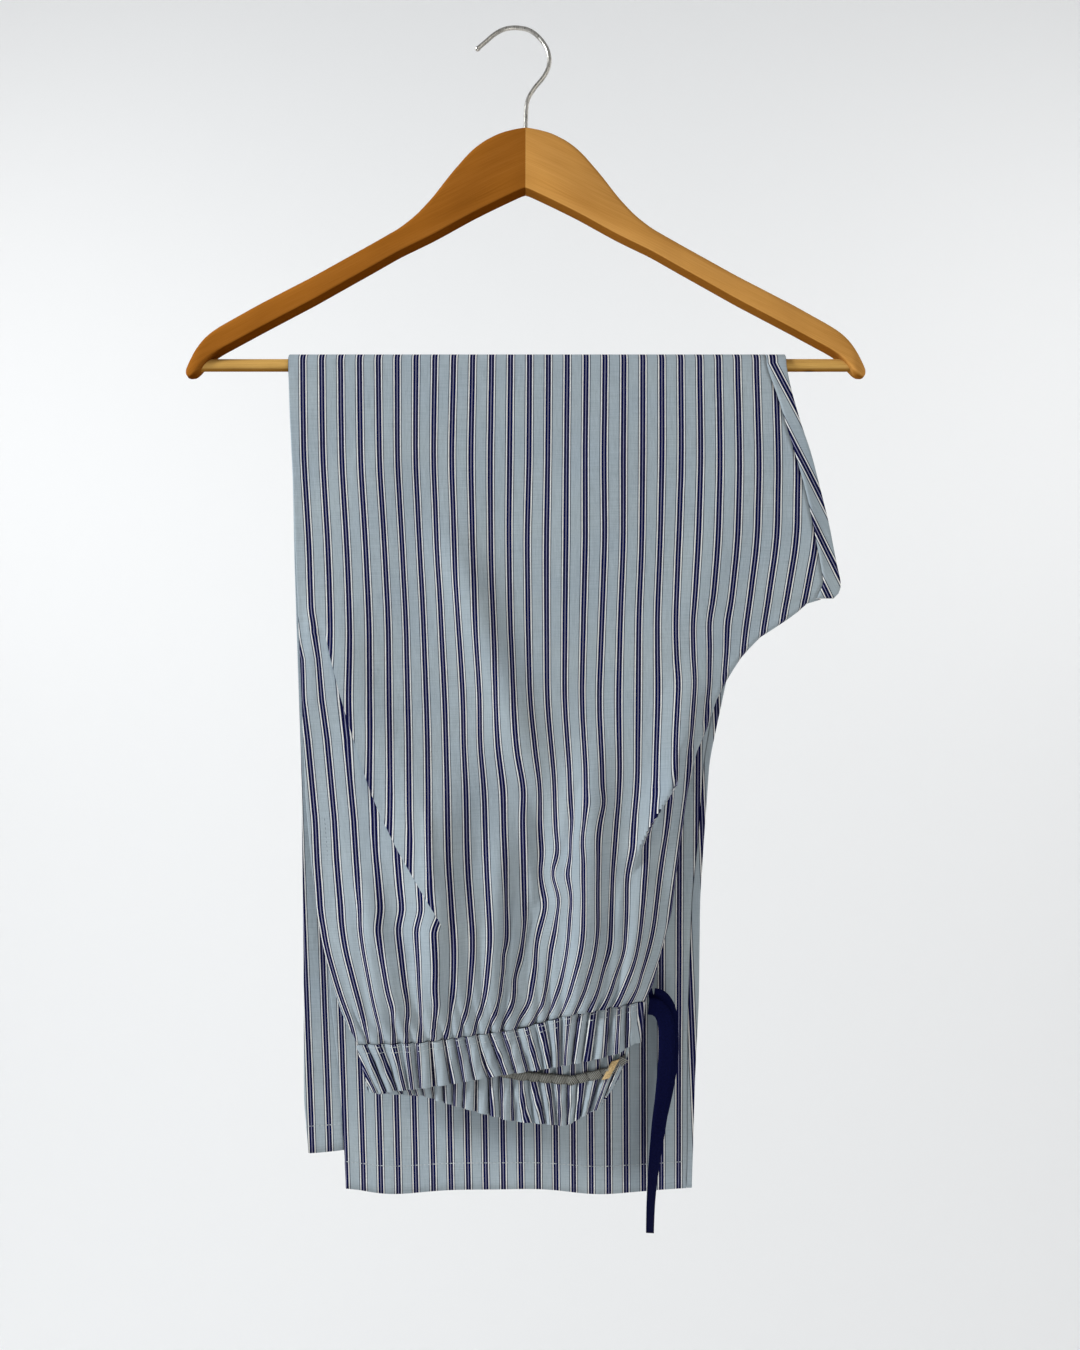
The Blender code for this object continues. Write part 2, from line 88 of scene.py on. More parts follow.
# Centreline of the hook from its tip: x, height
HOOK_LINE = (
    (-27.1, -13.2), (-24.4, -10.6), (-21.3, -7.8), (-17.7, -4.4), (-13.7, -1.5), (-9.3, 0.6), (-4.4, 1.5),
    (0.8, 1.3), (5.8, 0.1), (10.7, -2.9), (15.1, -7.6), (18.4, -13.2), (19.9, -18.8), (19.9, -23.8),
    (18.4, -29.0), (15.4, -34.2), (11.3, -39.4), (7.9, -44.6), (5.6, -50.0), (4.8, -56.5), (4.6, -63.0),
)

# Cloth
GAP = 0.3
SHELL = 0.5
CASING_SHELL = 1.3
PITCH = 1.3
TIGHT_PITCH = 0.75
BAR_LAYER = 4.9
TIGHT_BAR_LAYER = 4.55
THIGH_PITCH = 1.9
WAIST_PITCH = 5.0
WAIST_EDGE_PITCH = 2.6
HEM_PITCH = 3.2
# Heights where the spacing of the plies starts and stops changing
TIGHT_FROM_Z = -262.0
THIGH_SPREAD = (-250.0, -340.0)
WAIST_SPREAD = (-430.0, -640.0)
EDGE_SPREAD = (-560.0, -640.0)
HEM_SPREAD = (-330.0, -740.0)
# Heights between which the folds come in below the bar
FOLDS_START = (-235.0, -300.0)
HEM_DRIFT = 5.0
CB_INSET = 4.0
GATHERS = 21
GATHER_DEPTH = 2.5
SEAM_DROP = 0.5
REPEAT = 12.57
HEM_DEPTH = 18.0
ROW_STEP = 2.7
COLUMNS = 120
TUCK_COLUMNS = 40
OUTER_COLUMNS = 132
TUCK_STEP = 0.0008
SIDE_STEPS = 4
SEAM_STEPS = 5
BAR_STEPS = 13
STITCH_SPACING = 2.9
STITCH_LIFT = 0.12
BAND_STITCH_SPACING = 2.8
LOOP_SPACING = 1.15
# Stripes across a quarter of the waistband, and where the first one lies
BAND_STRIPES = 22.5
BAND_FIRST_STRIPE = 0.3

# Side edge of the front block: height, x
SIDE_EDGE = (
    (-221.4, -150.7), (-298.4, -146.8), (-350.6, -144.7), (-402.9, -142.6), (-455.0, -140.4),
    (-506.9, -138.2), (-549.0, -134.1), (-590.8, -128.6), (-627.4, -119.3), (-651.7, -110.8),
    (-665.0, -101.9),
)
# Folded right edge of the thigh in front: height, x of the fold, width of the strip that wraps round
THIGH_FOLD = (
    (-221.4, 174.2, 13.0), (-242.8, 178.4, 9.6), (-263.1, 184.1, 9.4), (-279.4, 189.9, 10.2),
    (-307.3, 196.9, 9.8), (-325.8, 201.5, 10.3), (-356.3, 207.3, 10.5), (-368.9, 210.6, 11.6),
    (-373.0, 209.7, 10.3),
)
# Crotch curve and centre front edge: height, x
RISE_EDGE = (
    (-376.0, 198.0), (-378.4, 188.8), (-384.9, 181.5), (-390.5, 173.7), (-400.9, 157.7),
    (-408.7, 150.1), (-414.6, 144.9), (-423.7, 139.0), (-432.9, 133.7), (-442.3, 128.8),
    (-458.2, 123.9), (-475.8, 116.0), (-503.7, 109.7), (-550.2, 103.1), (-579.9, 99.4),
    (-609.5, 91.5), (-626.0, 87.5), (-637.1, 82.0), (-672.0, 75.0),
)
CROTCH_Z = -376.0
# The thigh fold rounds off towards the crotch from this height, by this much
TIP_TOP_Z = -364.0
TIP_ROUND = 7.0
# Waist seam and bottom of the waistband by share of the width: front seam, front bottom, back seam,
# back bottom
WAIST_LINES = (
    (0 / 14, -664.8, -696.4, -667.5, -697.0), (3 / 14, -662.2, -691.6, -667.0, -698.5),
    (6 / 14, -657.0, -685.6, -678.0, -709.2), (8 / 14, -653.4, -681.6, -683.8, -714.6),
    (11 / 14, -642.8, -676.0, -687.5, -718.0), (13 / 14, -639.2, -670.3, -682.0, -707.0),
    (14 / 14, -637.1, -664.2, -672.0, -688.0),
)
CASING_LEFT_BOTTOM_X = -95.1
CASING_RIGHT_BOTTOM_X = 79.0
BACK_CASING_RIGHT_BOTTOM_X = 63.8
WAIST_DEPTH_Z = -660.0
# Right leg behind the bar: height, left edge, fold on the right, width of the strip
NEAR_LEG = (
    (-221.4, -151.5, 174.2, 13.0), (-349.1, -145.5, 153.7, 9.0), (-482.4, -136.0, 126.0, 3.2),
    (-533.1, -132.0, 122.6, 3.4), (-574.6, -129.5, 120.0, 5.0), (-642.9, -125.5, 119.4, 6.6),
    (-698.5, -119.5, 116.8, 4.6), (-743.5, -116.6, 115.6, 3.2), (-770.0, -115.3, 114.7, 3.0),
)
NEAR_HEM_Z = -770.0
# Left leg behind the bar: height, left edge, fold on the right, width of the strip
FAR_LEG = (
    (-221.4, -151.5, 174.2, 13.0), (-348.8, -149.0, 144.3, 9.0), (-482.7, -145.0, 114.5, 5.0),
    (-610.8, -144.0, 100.0, 4.0), (-712.4, -144.0, 93.0, 3.2), (-746.0, -140.7, 91.5, 3.0),
)
FAR_HEM_Z = -746.0
# Soft folds: x and height of the top, x and height of the bottom, width, height of the ridge
FRONT_FOLDS = (
    (-122.0, -385.0, -50.0, -584.0, 17.0, 2.8),
    (109.0, -480.0, 74.0, -570.0, 14.0, 2.4),
    (-45.0, -345.0, 2.0, -475.0, 24.0, 2.0),
    (-52.0, -530.0, -60.0, -650.0, 10.0, 2.2),
    (-12.0, -530.0, -14.0, -645.0, 10.0, 2.6),
    (10.0, -520.0, 12.0, -640.0, 10.0, -2.4),
    (34.0, -530.0, 38.0, -635.0, 10.0, 2.2),
)
LEG_FOLDS = (
    (-60.0, -430.0, -70.0, -775.0, 26.0, 2.0),
    (15.0, -380.0, 8.0, -775.0, 28.0, -1.8),
    (75.0, -420.0, 68.0, -775.0, 22.0, 1.8),
)
# Broad folds of the outer front ply only: the same columns
OUTER_FOLDS = (
    (-51.0, -500.0, -49.0, -640.0, 22.0, 8.0),
    (47.0, -490.0, 45.0, -635.0, 14.0, 8.0),
    (18.0, -505.0, 8.0, -635.0, 10.0, -2.2),
    (-40.0, -345.0, 6.0, -480.0, 14.0, 5.6),
    (-98.0, -565.0, -84.0, -645.0, 11.0, 4.6),
    (82.0, -560.0, 70.0, -628.0, 11.0, 5.0),
    (112.0, -430.0, 96.0, -520.0, 14.0, 4.6),
    (-14.0, -545.0, -18.0, -640.0, 7.0, 2.0),
    (-68.0, -470.0, -76.0, -540.0, 15.0, 1.6),
    (150.0, -290.0, 105.0, -400.0, 18.0, 1.2),
    (185.0, -285.0, 196.0, -362.0, 8.0, 1.0),
    (60.0, -260.0, 30.0, -380.0, 26.0, 1.0),
    (-92.0, -270.0, -104.0, -400.0, 22.0, 1.0),
    (-138.0, -388.0, -141.0, -450.0, 6.0, 1.2),
)
# Narrow creases of the outer front ply, with rounded ridges: the same columns
CREASES = (
    (-58.0, -515.0, -55.0, -560.0, 3.2, 1.9),
    (-44.0, -575.0, -46.0, -650.0, 3.6, -2.8),
    (-27.0, -560.0, -30.0, -645.0, 3.6, 1.7),
    (-6.0, -560.0, -10.0, -642.0, 3.2, -3.2),
    (4.0, -515.0, 10.0, -580.0, 3.6, 2.2),
    (10.0, -575.0, -4.0, -625.0, 3.4, -2.3),
    (22.0, -540.0, 27.0, -575.0, 3.2, 1.9),
    (29.0, -585.0, 24.0, -642.0, 3.4, -2.9),
    (38.0, -500.0, 30.0, -545.0, 3.6, -2.2),
    (58.0, -575.0, 50.0, -634.0, 3.8, -2.8),
    (66.0, -560.0, 62.0, -626.0, 3.8, 1.7),
    (-92.0, -600.0, -80.0, -655.0, 3.8, -2.6),
    (-106.0, -570.0, -96.0, -650.0, 3.8, -2.2),
    (-70.0, -600.0, -63.0, -655.0, 3.8, -2.2),
    (90.0, -545.0, 80.0, -615.0, 4.2, -2.0),
    (-147.0, -392.0, -128.0, -400.0, 3.0, 1.7),
)
# Sharp tucks of the outer front ply: height and x along the crease
LEFT_TUCK = (
    (-390.0, -128.0), (-414.0, -122.6), (-436.7, -116.6), (-453.6, -111.6), (-474.4, -105.0),
    (-498.5, -97.0), (-512.8, -91.0), (-536.8, -78.8), (-554.4, -68.2), (-572.6, -56.6),
    (-586.2, -48.0),
)
RIGHT_TUCK = (
    (-478.0, 116.0), (-488.1, 110.0), (-494.6, 103.5), (-506.9, 95.1), (-523.8, 86.0),
    (-537.5, 78.9), (-558.9, 73.0),
)
BAND_TUCK = ((-604.0, 78.5), (-613.0, 74.6), (-623.4, 68.8), (-632.4, 62.3), (-638.9, 51.3))
# Courses of the stripes in front, right of the left tuck: height, then x of stripes 0, 4, 8 to 24
STRIPE_COURSES = (
    (-219.0, -141.6, -92.1, -42.6, 7.0, 56.5, 106.0, 155.5),
    (-286.0, -140.2, -90.8, -44.0, 6.7, 55.5, 106.1, 156.8),
    (-338.0, -136.9, -87.5, -42.0, 5.4, 56.1, 104.2, 155.5),
    (-390.0, -135.0, -84.9, -39.4, 6.1, 54.2, 102.2, 149.0),
    (-441.9, -134.3, -84.3, -36.2, 7.4, 52.2, 103.5, 142.5),
    (-493.9, -132.4, -83.0, -34.2, 12.6, 54.2, 100.3, 140.6),
    (-545.9, -131.1, -81.0, -32.9, 15.2, 50.9, 93.1, 133.4),
    (-597.9, -125.9, -77.1, -29.0, 15.2, 50.3, 86.6, 123.0),
    (-636.9, -114.2, -71.9, -31.6, 7.4, 39.9, 73.7, 107.4),
    (-659.7, -105.1, -71.9, -39.4, -6.3, 26.9, 59.4, 92.5),
)
STRIPES_APART = 4.0
# Below this height the cloth left of the tuck has slipped by a whole repeat
TUCK_SLIP_Z = -480.0
# A face that crosses more of the repeat than this lies on a tuck
HIDDEN_SHARE = 0.34
BUNCH_REACH = 9
# Courses left of the tuck: height, x of the stripe before the first, x of the one after it
LEFT_COURSES = (
    (-377.0, -148.0, -123.3), (-403.0, -144.7, -120.0), (-416.0, -141.5, -119.4),
    (-441.9, -140.8, -116.1), (-467.9, -137.6, -112.2), (-493.9, -135.0, -109.6),
    (-519.9, -132.4, -107.0), (-545.9, -131.1, -105.1), (-571.9, -129.1, -102.5),
    (-591.4, -127.8, -101.2),
)
# Places where a fold carries the stripes sideways: x, height, reach across, reach up and down, shift
STRIPE_SHIFTS = (
    (26.0, -539.0, 9.0, 11.0, 1.6), (22.0, -554.0, 9.0, 8.0, -2.4), (26.0, -571.0, 9.0, 9.0, 2.8),
    (15.0, -602.0, 10.0, 14.0, -3.4), (35.0, -522.0, 8.0, 10.0, 1.6), (31.0, -553.0, 8.0, 9.0, -1.2),
    (17.0, -578.0, 7.0, 9.0, 1.8), (-1.0, -622.0, 8.0, 10.0, -3.2), (-8.0, -607.0, 7.0, 7.0, -1.8),
    (52.0, -508.0, 8.0, 8.0, 2.0), (44.0, -530.0, 9.0, 12.0, -2.0), (4.0, -500.0, 12.0, 16.0, 2.0),
    (-20.0, -470.0, 16.0, 24.0, -1.6), (14.0, -640.0, 10.0, 9.0, 2.4), (70.0, -560.0, 9.0, 14.0, -1.4),
    (-78.0, -640.0, 9.0, 9.0, 1.8), (-56.0, -628.0, 9.0, 11.0, -1.5), (66.0, -604.0, 9.0, 11.0, 2.0),
    (128.0, -392.0, 14.0, 12.0, -1.6), (112.0, -430.0, 12.0, 14.0, 1.4), (-110.0, -470.0, 10.0, 18.0, 1.0),
)
# Stripes of the legs run straight from the bar to the hem: x of the first stripe and the repeat
LEG_STRIPES_TOP = (-144.9, 12.6)
LEG_STRIPES_HEM = (-127.4, 11.7)
LEG_STRIP_LEAN = math.radians(2.5)
STRIP_LEAN = math.radians(27.0)

# Half outline of the wooden arms: distance from the middle, top edge, lower edge
ARM_OUTLINE = (
    (0.0, -69.5, -111.8), (7.8, -70.7, -115.4), (17.2, -73.1, -119.8), (27.9, -78.5, -124.9),
    (36.3, -85.3, -129.1), (49.2, -100.4, -136.1), (60.2, -115.1, -141.9), (70.8, -126.5, -146.8),
    (81.6, -134.9, -151.7), (100.5, -145.2, -162.0), (138.3, -165.0, -182.1), (175.1, -182.6, -200.2),
    (201.9, -196.5, -213.7), (209.3, -201.4, -219.4), (214.6, -206.9, -226.5), (219.1, -213.5, -230.9),
    (222.3, -219.1, -230.6), (223.9, -223.5, -227.6),
)
# Slope of a drawstring's cut end against its width
END_CUT = 0.43
# Centreline of the drawstring's long end: x, y, height, turn of its width in degrees
LONG_END = (
    (84.3, -13.0, -641.0, 20.0), (89.0, -13.5, -641.6, 20.0), (93.0, -13.8, -645.0, 14.0),
    (95.6, -13.8, -652.0, 10.0), (96.2, -13.4, -664.0, 8.0), (95.6, -12.8, -680.0, 10.0),
    (94.0, -12.2, -698.0, 14.0), (91.6, -11.8, -716.0, 22.0), (89.4, -11.6, -734.0, 34.0),
    (87.4, -11.6, -752.0, 48.0), (86.0, -11.8, -770.0, 56.0), (85.4, -12.0, -788.8, 60.0),
)
SHORT_END = (
    (84.8, -9.4, -636.0, 20.0), (89.5, -9.6, -635.6, 18.0), (94.0, -9.8, -638.2, 12.0),
    (97.4, -10.0, -645.0, 6.0), (98.6, -10.2, -656.0, 2.0), (98.8, -10.0, -672.0, 0.0),
    (97.0, -9.2, -690.0, 14.0), (94.6, -8.2, -708.0, 34.0), (92.0, -7.4, -726.0, 56.0),
    (90.4, -7.0, -744.0, 68.0),
)
RIBBON_WIDTH = 11.0
RIBBON_WALL = 0.9
# Section of the ribbon, with thicker edges: share of the width, share of the wall
RIBBON_PROFILE = (
    (-0.5, 0.0), (-0.47, 0.5), (-0.25, 0.42), (0.0, 0.36), (0.25, 0.42), (0.47, 0.5),
    (0.5, 0.0), (0.47, -0.5), (0.25, -0.42), (0.0, -0.36), (-0.25, -0.42), (-0.47, -0.5),
)

LABEL_X = 59.5
LABEL_WIDTH = 5.0
LABEL_HEIGHT = 12.0
LABEL_LEAN = 6.5
LABEL_SHARE = 0.92

# Plies by their place in the stack, from the bar outwards
RIGHT_FRONT, RIGHT_BACK, LEFT_BACK, LEFT_FRONT = range(4)
SIDES = {
    LEFT_FRONT: "left_front", LEFT_BACK: "left_back", RIGHT_BACK: "right_back", RIGHT_FRONT: "right_front",
}
PARTNERS = {LEFT_BACK: LEFT_FRONT, RIGHT_BACK: RIGHT_FRONT, LEFT_FRONT: LEFT_BACK, RIGHT_FRONT: RIGHT_BACK}
# Place of the middle of the stack, counted in plies from the bar
MIDDLE_LAYER = 1.5


# Shape functions

def column(table, position, index):
    """Read one column of a table at heights or shares, straight between its rows."""
    keys = np.array([row[0] for row in table])
    values = np.array([row[index] for row in table])
    order = np.argsort(keys)
    return np.interp(position, keys[order], values[order])


def smooth_step(low, high, value):
    share = np.clip((np.asarray(value, float) - low) / (high - low), 0.0, 1.0)
    return share * share * (3.0 - 2.0 * share)


def soft_column(table, position, index, reach=7.0):
    """A column with its corners rounded, as the mean of nearby readings."""
    offsets = np.linspace(-reach, reach, 7)
    return sum(column(table, position + offset, index) for offset in offsets) / len(offsets)


def fold_height(folds, x, z):
    """Add up the soft ridges and troughs, each a long bump that fades out at its ends."""
    total = np.zeros_like(np.asarray(x, float))
    for top_x, top_z, bottom_x, bottom_z, width, height in folds:
        share = (z - top_z) / (bottom_z - top_z)
        fade = smooth_step(-0.25, 0.2, share) * (1.0 - smooth_step(0.8, 1.25, share))
        across = (x - (top_x + (bottom_x - top_x) * share)) / width
        total = total + height * fade * np.exp(-across * across)
    return total


def tuck_height(line, x, z, height, behind, side=1.0, fades=(40.0, 50.0), is_proud=None):
    """A sharp fold: cloth stands proud on one side of the line and dips on the other."""
    heights = [row[0] for row in line]
    fade = smooth_step(min(heights), min(heights) + fades[0], z)
    fade = fade * smooth_step(max(heights), max(heights) - fades[1], z)
    distance = (x - column(line, z, 1)) * side
    proud = height * np.exp(-np.maximum(distance, 0.0) / 13.0)
    dip = -behind * np.exp(np.minimum(distance, 0.0) / 7.0)
    blend = smooth_step(-1.0, 1.0, distance) if is_proud is None else is_proud
    return fade * (dip + (proud - dip) * blend)


def tight(z):
    """How far the plies are drawn together, from nothing well below the bar to fully at the bar."""
    return smooth_step(TIGHT_FROM_Z, BAR_Z, z)


def waist_pitch(z):
    thigh = PITCH + (THIGH_PITCH - PITCH) * smooth_step(*THIGH_SPREAD, z)
    thigh = thigh + (TIGHT_PITCH - thigh) * tight(z)
    return thigh + (WAIST_PITCH - THIGH_PITCH) * smooth_step(*WAIST_SPREAD, z)


def spread_pitch(z, wide, spread):
    """Spacing of the plies, tight at the bar and wide below."""
    pitch = PITCH + (TIGHT_PITCH - PITCH) * tight(z)
    return pitch + (wide - PITCH) * smooth_step(*spread, z)


def edge_pitch(z):
    return spread_pitch(z, WAIST_EDGE_PITCH, EDGE_SPREAD)


def hem_pitch(z):
    return spread_pitch(z, HEM_PITCH, HEM_SPREAD)


def bar_layer(z):
    return BAR_LAYER + (TIGHT_BAR_LAYER - BAR_LAYER) * tight(z)


def arc_radius(layer):
    return TIGHT_BAR_LAYER + layer * TIGHT_PITCH


def gather_wave(share, layer):
    """Gathers of the waistband, uneven in spacing and depth, with rounded tops and narrow valleys."""
    turns = 2 * np.pi * share
    drift = 0.2 * np.sin(2.3 * turns + 1.0) + 0.12 * np.sin(6.1 * turns)
    depth = 0.84 + 0.1 * np.sin(4.7 * turns) + 0.06 * np.sin(3.1 * turns + 1.3 * layer)
    wave = np.abs(np.sin(np.pi * (GATHERS * share + drift)))
    return (2.0 * wave ** 0.8 - 1.15) * depth


def long_gathers(share, layer):
    """The deeper gathers, which reach further up the cloth, as rounded ridges with narrow valleys."""
    phases = (
        np.pi * (6.6 * share + 0.3) + 0.9 * np.sin(11.0 * share),
        np.pi * (13.3 * share + 0.1 * layer) + 0.8 * np.sin(17.0 * share + 1.0),
        np.pi * (23.0 * share + 0.2 * layer) + 0.9 * np.sin(27.0 * share),
    )
    return [2.0 * np.abs(np.sin(phase)) ** 0.8 - 1.2 for phase in phases]


def crumple(x, z, layer):
    """Low, wide unevenness of washed cotton."""
    total = np.sin(x / 21.0 + z / 67.0 + layer) * np.sin(z / 43.0 + 0.7 * layer)
    total = total + 0.6 * np.sin(x / 9.7 - z / 37.0 + 2.0 * layer) * np.sin(z / 23.0 + x / 61.0)
    return 0.34 * total


def stack_depth(layer, x, z, left, right, middle, edge_value):
    edge = np.maximum(np.minimum(x - left, right - x), 0.0)
    pitch = edge_value + (middle - edge_value) * smooth_step(0.0, 34.0, edge)
    return edge, bar_layer(z) + MIDDLE_LAYER * middle + (layer - MIDDLE_LAYER) * pitch


def front_depth(layer, shares, x, z, left, right):
    """Depth of a ply in front of the bar."""
    edge, stack = stack_depth(layer, x, z, left, right, waist_pitch(z), edge_pitch(z))
    below = smooth_step(*FOLDS_START, z)
    lift = fold_height(FRONT_FOLDS, x, z) + crumple(x, z, 0)
    if layer == LEFT_FRONT:
        lift = lift + fold_height(OUTER_FOLDS, x, z) + fold_height(CREASES, x, z)
        lift = lift + tuck_height(LEFT_TUCK, x, z, 2.6, 0.8, is_proud=beyond_tuck(layer, shares))
        lift = lift + tuck_height(RIGHT_TUCK, x, z, 4.6, 1.4, -1.0, (26.0, 16.0))
        lift = lift + tuck_height(BAND_TUCK, x, z, 2.4, 0.9)
    lift = lift * smooth_step(0.0, 9.0, edge) * below
    above = z - waist_line(layer, shares, 0)
    first, second, third = long_gathers(shares, layer)
    gathers = 1.8 * first * np.exp(-above / 62.0) + 2.3 * second * np.exp(-above / 36.0)
    gathers = gathers + 1.7 * third * np.exp(-above / 19.0)
    gathers = gathers * smooth_step(-2.0, 22.0, above)
    gathers = gathers + GATHER_DEPTH * gather_wave(shares, layer) * np.exp(-np.maximum(above, 0.0) / 18.0)
    return -(stack + lift + gathers * smooth_step(0.0, 8.0, edge) * below)


def back_depth(layer, x, z, left, right):
    """Depth of a ply behind the bar."""
    edge, stack = stack_depth(layer, x, z, left, right, hem_pitch(z), edge_pitch(np.maximum(z, -500.0)))
    drift = HEM_DRIFT * smooth_step(-300.0, -760.0, z)
    below = smooth_step(*FOLDS_START, z)
    lift = fold_height(LEG_FOLDS, x, z) + crumple(x, z, 3) * below
    return stack + drift + lift * smooth_step(0.0, 9.0, edge)


def is_back_piece(layer):
    return layer in (LEFT_BACK, RIGHT_BACK)


def waist_line(layer, share, bottom):
    return column(WAIST_LINES, share, 1 + 2 * is_back_piece(layer) + bottom)


def leg_table(layer):
    return FAR_LEG if layer in (LEFT_FRONT, LEFT_BACK) else NEAR_LEG


def hem_height(layer):
    return FAR_HEM_Z if layer in (LEFT_FRONT, LEFT_BACK) else NEAR_HEM_Z


def common_right(z):
    """Right end of the columns that all plies share, at a height in front."""
    rise = float(column(RISE_EDGE, min(z, CROTCH_Z), 1)) - CB_INSET
    thigh = float(soft_column(THIGH_FOLD, z, 1) - soft_column(THIGH_FOLD, z, 2))
    return rise + (thigh - rise) * float(smooth_step(CROTCH_Z, CROTCH_Z + 12.0, z))


def front_outer(z):
    """Outermost right edge of the cloth at a height in front."""
    if z <= CROTCH_Z:
        return common_right(z)
    share = min(max((TIP_TOP_Z - z) / (TIP_TOP_Z - CROTCH_Z), 0.0), 1.0)
    return float(soft_column(THIGH_FOLD, z, 1)) - TIP_ROUND * (1.0 - math.sqrt(1.0 - share * share))


# Stripe coordinates, counted in repeats

def front_stripes(x, z, is_left):
    """Stripe number at each point of the outer front ply."""
    last = len(STRIPE_COURSES[0]) - 2
    places = [soft_column(STRIPE_COURSES, z, 1 + k, 12.0) for k in range(last + 1)]
    number = (x - places[0]) * STRIPES_APART / (places[1] - places[0])
    for k in range(1, last):
        slope = STRIPES_APART / (places[k + 1] - places[k])
        number = np.where(x > places[k], STRIPES_APART * k + (x - places[k]) * slope, number)
    for shift_x, shift_z, across, along, shift in STRIPE_SHIFTS:
        away = ((x - shift_x) / across) ** 2 + ((z - shift_z) / along) ** 2
        number = number - shift * np.exp(-away) / REPEAT
    before = column(LEFT_COURSES, z, 1)
    after = column(LEFT_COURSES, z, 2)
    left_number = -1.0 + 2.0 * (x - before) / (after - before) + (z < TUCK_SLIP_Z)
    in_tuck = smooth_step(-377.0, -392.0, z) * (1.0 - smooth_step(-575.0, -592.0, z))
    return number + (left_number - number) * is_left * in_tuck


def leg_stripes(x, z, hem):
    share = np.clip((z - BAR_Z) / (hem - BAR_Z), 0.0, 1.0)
    first = LEG_STRIPES_TOP[0] + (LEG_STRIPES_HEM[0] - LEG_STRIPES_TOP[0]) * share
    spacing = LEG_STRIPES_TOP[1] + (LEG_STRIPES_HEM[1] - LEG_STRIPES_TOP[1]) * share
    return (x - first) / spacing


def strip_stripes(x, z, lean):
    return (x - 186.0 + (z + 260.0) * math.tan(lean)) * math.cos(lean) / REPEAT


def along_cloth(x, y, number):
    """Bunch the stripes on slopes, where the cloth runs in depth as well as across."""
    arc = np.concatenate([[0.0], np.cumsum(np.hypot(np.diff(x), np.diff(y)))])
    excess = arc - (x - x[0])
    padded = np.pad(excess, BUNCH_REACH, mode="reflect", reflect_type="odd")
    window = np.ones(2 * BUNCH_REACH + 1) / (2 * BUNCH_REACH + 1)
    return number + (excess - np.convolve(padded, window, mode="valid")) / REPEAT


# Rows of points of the plies

def ply_shares(layer, left, right, part):
    """Shares of the width in front; on the outer ply two columns run down the left tuck, side by side."""
    if layer != LEFT_FRONT:
        return np.linspace(0.0, 1.0, COLUMNS)
    tuck = 0.1
    for attempt in range(5):
        z = BAR_Z + (float(waist_line(layer, tuck, 0)) - BAR_Z) * part
        tuck = (float(soft_column(LEFT_TUCK, z, 1, 5.0)) - left) / (right - left)
    beyond = np.linspace(tuck + TUCK_STEP, 1.0, OUTER_COLUMNS)
    return np.concatenate([np.linspace(0.0, tuck, TUCK_COLUMNS), beyond])


def beyond_tuck(layer, shares):
    """True for the columns on the right of the left tuck, and for a single share."""
    if np.ndim(shares) == 0:
        return True
    return np.arange(len(shares)) >= (TUCK_COLUMNS if layer == LEFT_FRONT else 0)


def add_points(row, *added):
    for key, values in zip("xyzn", added):
        row[key] = np.concatenate([row[key], values])


def turn_to_seam(row, layer, right, depth_z, wall, stripe_step):
    """Carry a front piece round its right edge to the seam in the middle of the stack."""
    side = 1.0 if layer == LEFT_FRONT else -1.0
    seam = -(bar_layer(depth_z) + MIDDLE_LAYER * waist_pitch(depth_z)) - side * wall / 2
    own = float(row["y"][-1])
    turn = np.linspace(0.2, 1.0, SEAM_STEPS) * math.pi / 2
    x = right + CB_INSET * np.sin(turn)
    y = own + (seam - own) * (1.0 - np.cos(turn))
    number = row["n"][-1] + np.arange(1, SEAM_STEPS + 1) * stripe_step
    add_points(row, x, y, np.full(SEAM_STEPS, row["z"][-1]), number)


def front_row(layer, right_z, some_shares=None):
    """One row of a ply in front of the bar, placed by the height of its right end."""
    part = (right_z - BAR_Z) / (float(waist_line(layer, 1.0, 0)) - BAR_Z)
    left_z = BAR_Z + (float(waist_line(layer, 0.0, 0)) - BAR_Z) * part
    left = float(soft_column(SIDE_EDGE, left_z, 1))
    right = common_right(right_z)
    outer = front_outer(right_z)
    shares = ply_shares(layer, left, right, part) if some_shares is None else some_shares
    x = left + (right - left) * shares
    z = BAR_Z + (waist_line(layer, shares, 0) - BAR_Z) * part
    y = front_depth(layer, shares, x, z, left, outer)
    number = front_stripes(x, z, ~beyond_tuck(layer, shares))
    row = {"x": x, "y": y, "z": z, "n": along_cloth(x, y, number)}
    is_tube = right_z > CROTCH_Z
    if is_tube and is_back_piece(layer):
        add_points(row, *wrap(
            layer, lambda ply, at: front_depth(ply, 1.0, at, z[-1], left, outer),
            right, outer, z[-1], STRIP_LEAN,
        ))
    elif not is_tube and not is_back_piece(layer):
        turn_to_seam(row, layer, right, right_z, SHELL + 0.1, 1.2 / REPEAT)
    return row


def wrap(layer, depth, inseam, fold, z, lean):
    """Points that carry a back piece round the fold and on to the inseam."""
    approach = np.linspace(inseam, fold, 5)[1:-1]
    leaving = np.linspace(fold, inseam + GAP, 6)[1:]
    own = float(depth(layer, fold))
    other = float(depth(PARTNERS[layer], fold))
    turn = np.linspace(0.0, math.pi, 7)
    radius = abs(other - own) / 2
    x = np.concatenate([approach, fold + radius * np.sin(turn), leaving])
    round_y = (own + other) / 2 + (own - other) / 2 * np.cos(turn)
    y = np.concatenate([depth(layer, approach), round_y, depth(PARTNERS[layer], leaving)])
    unrolled = fold + (math.pi - turn) * radius
    laid_flat = np.concatenate([2 * fold - approach + math.pi * radius, unrolled, leaving])
    heights = np.full(len(x), z)
    return x, y, heights, strip_stripes(laid_flat, heights, lean)


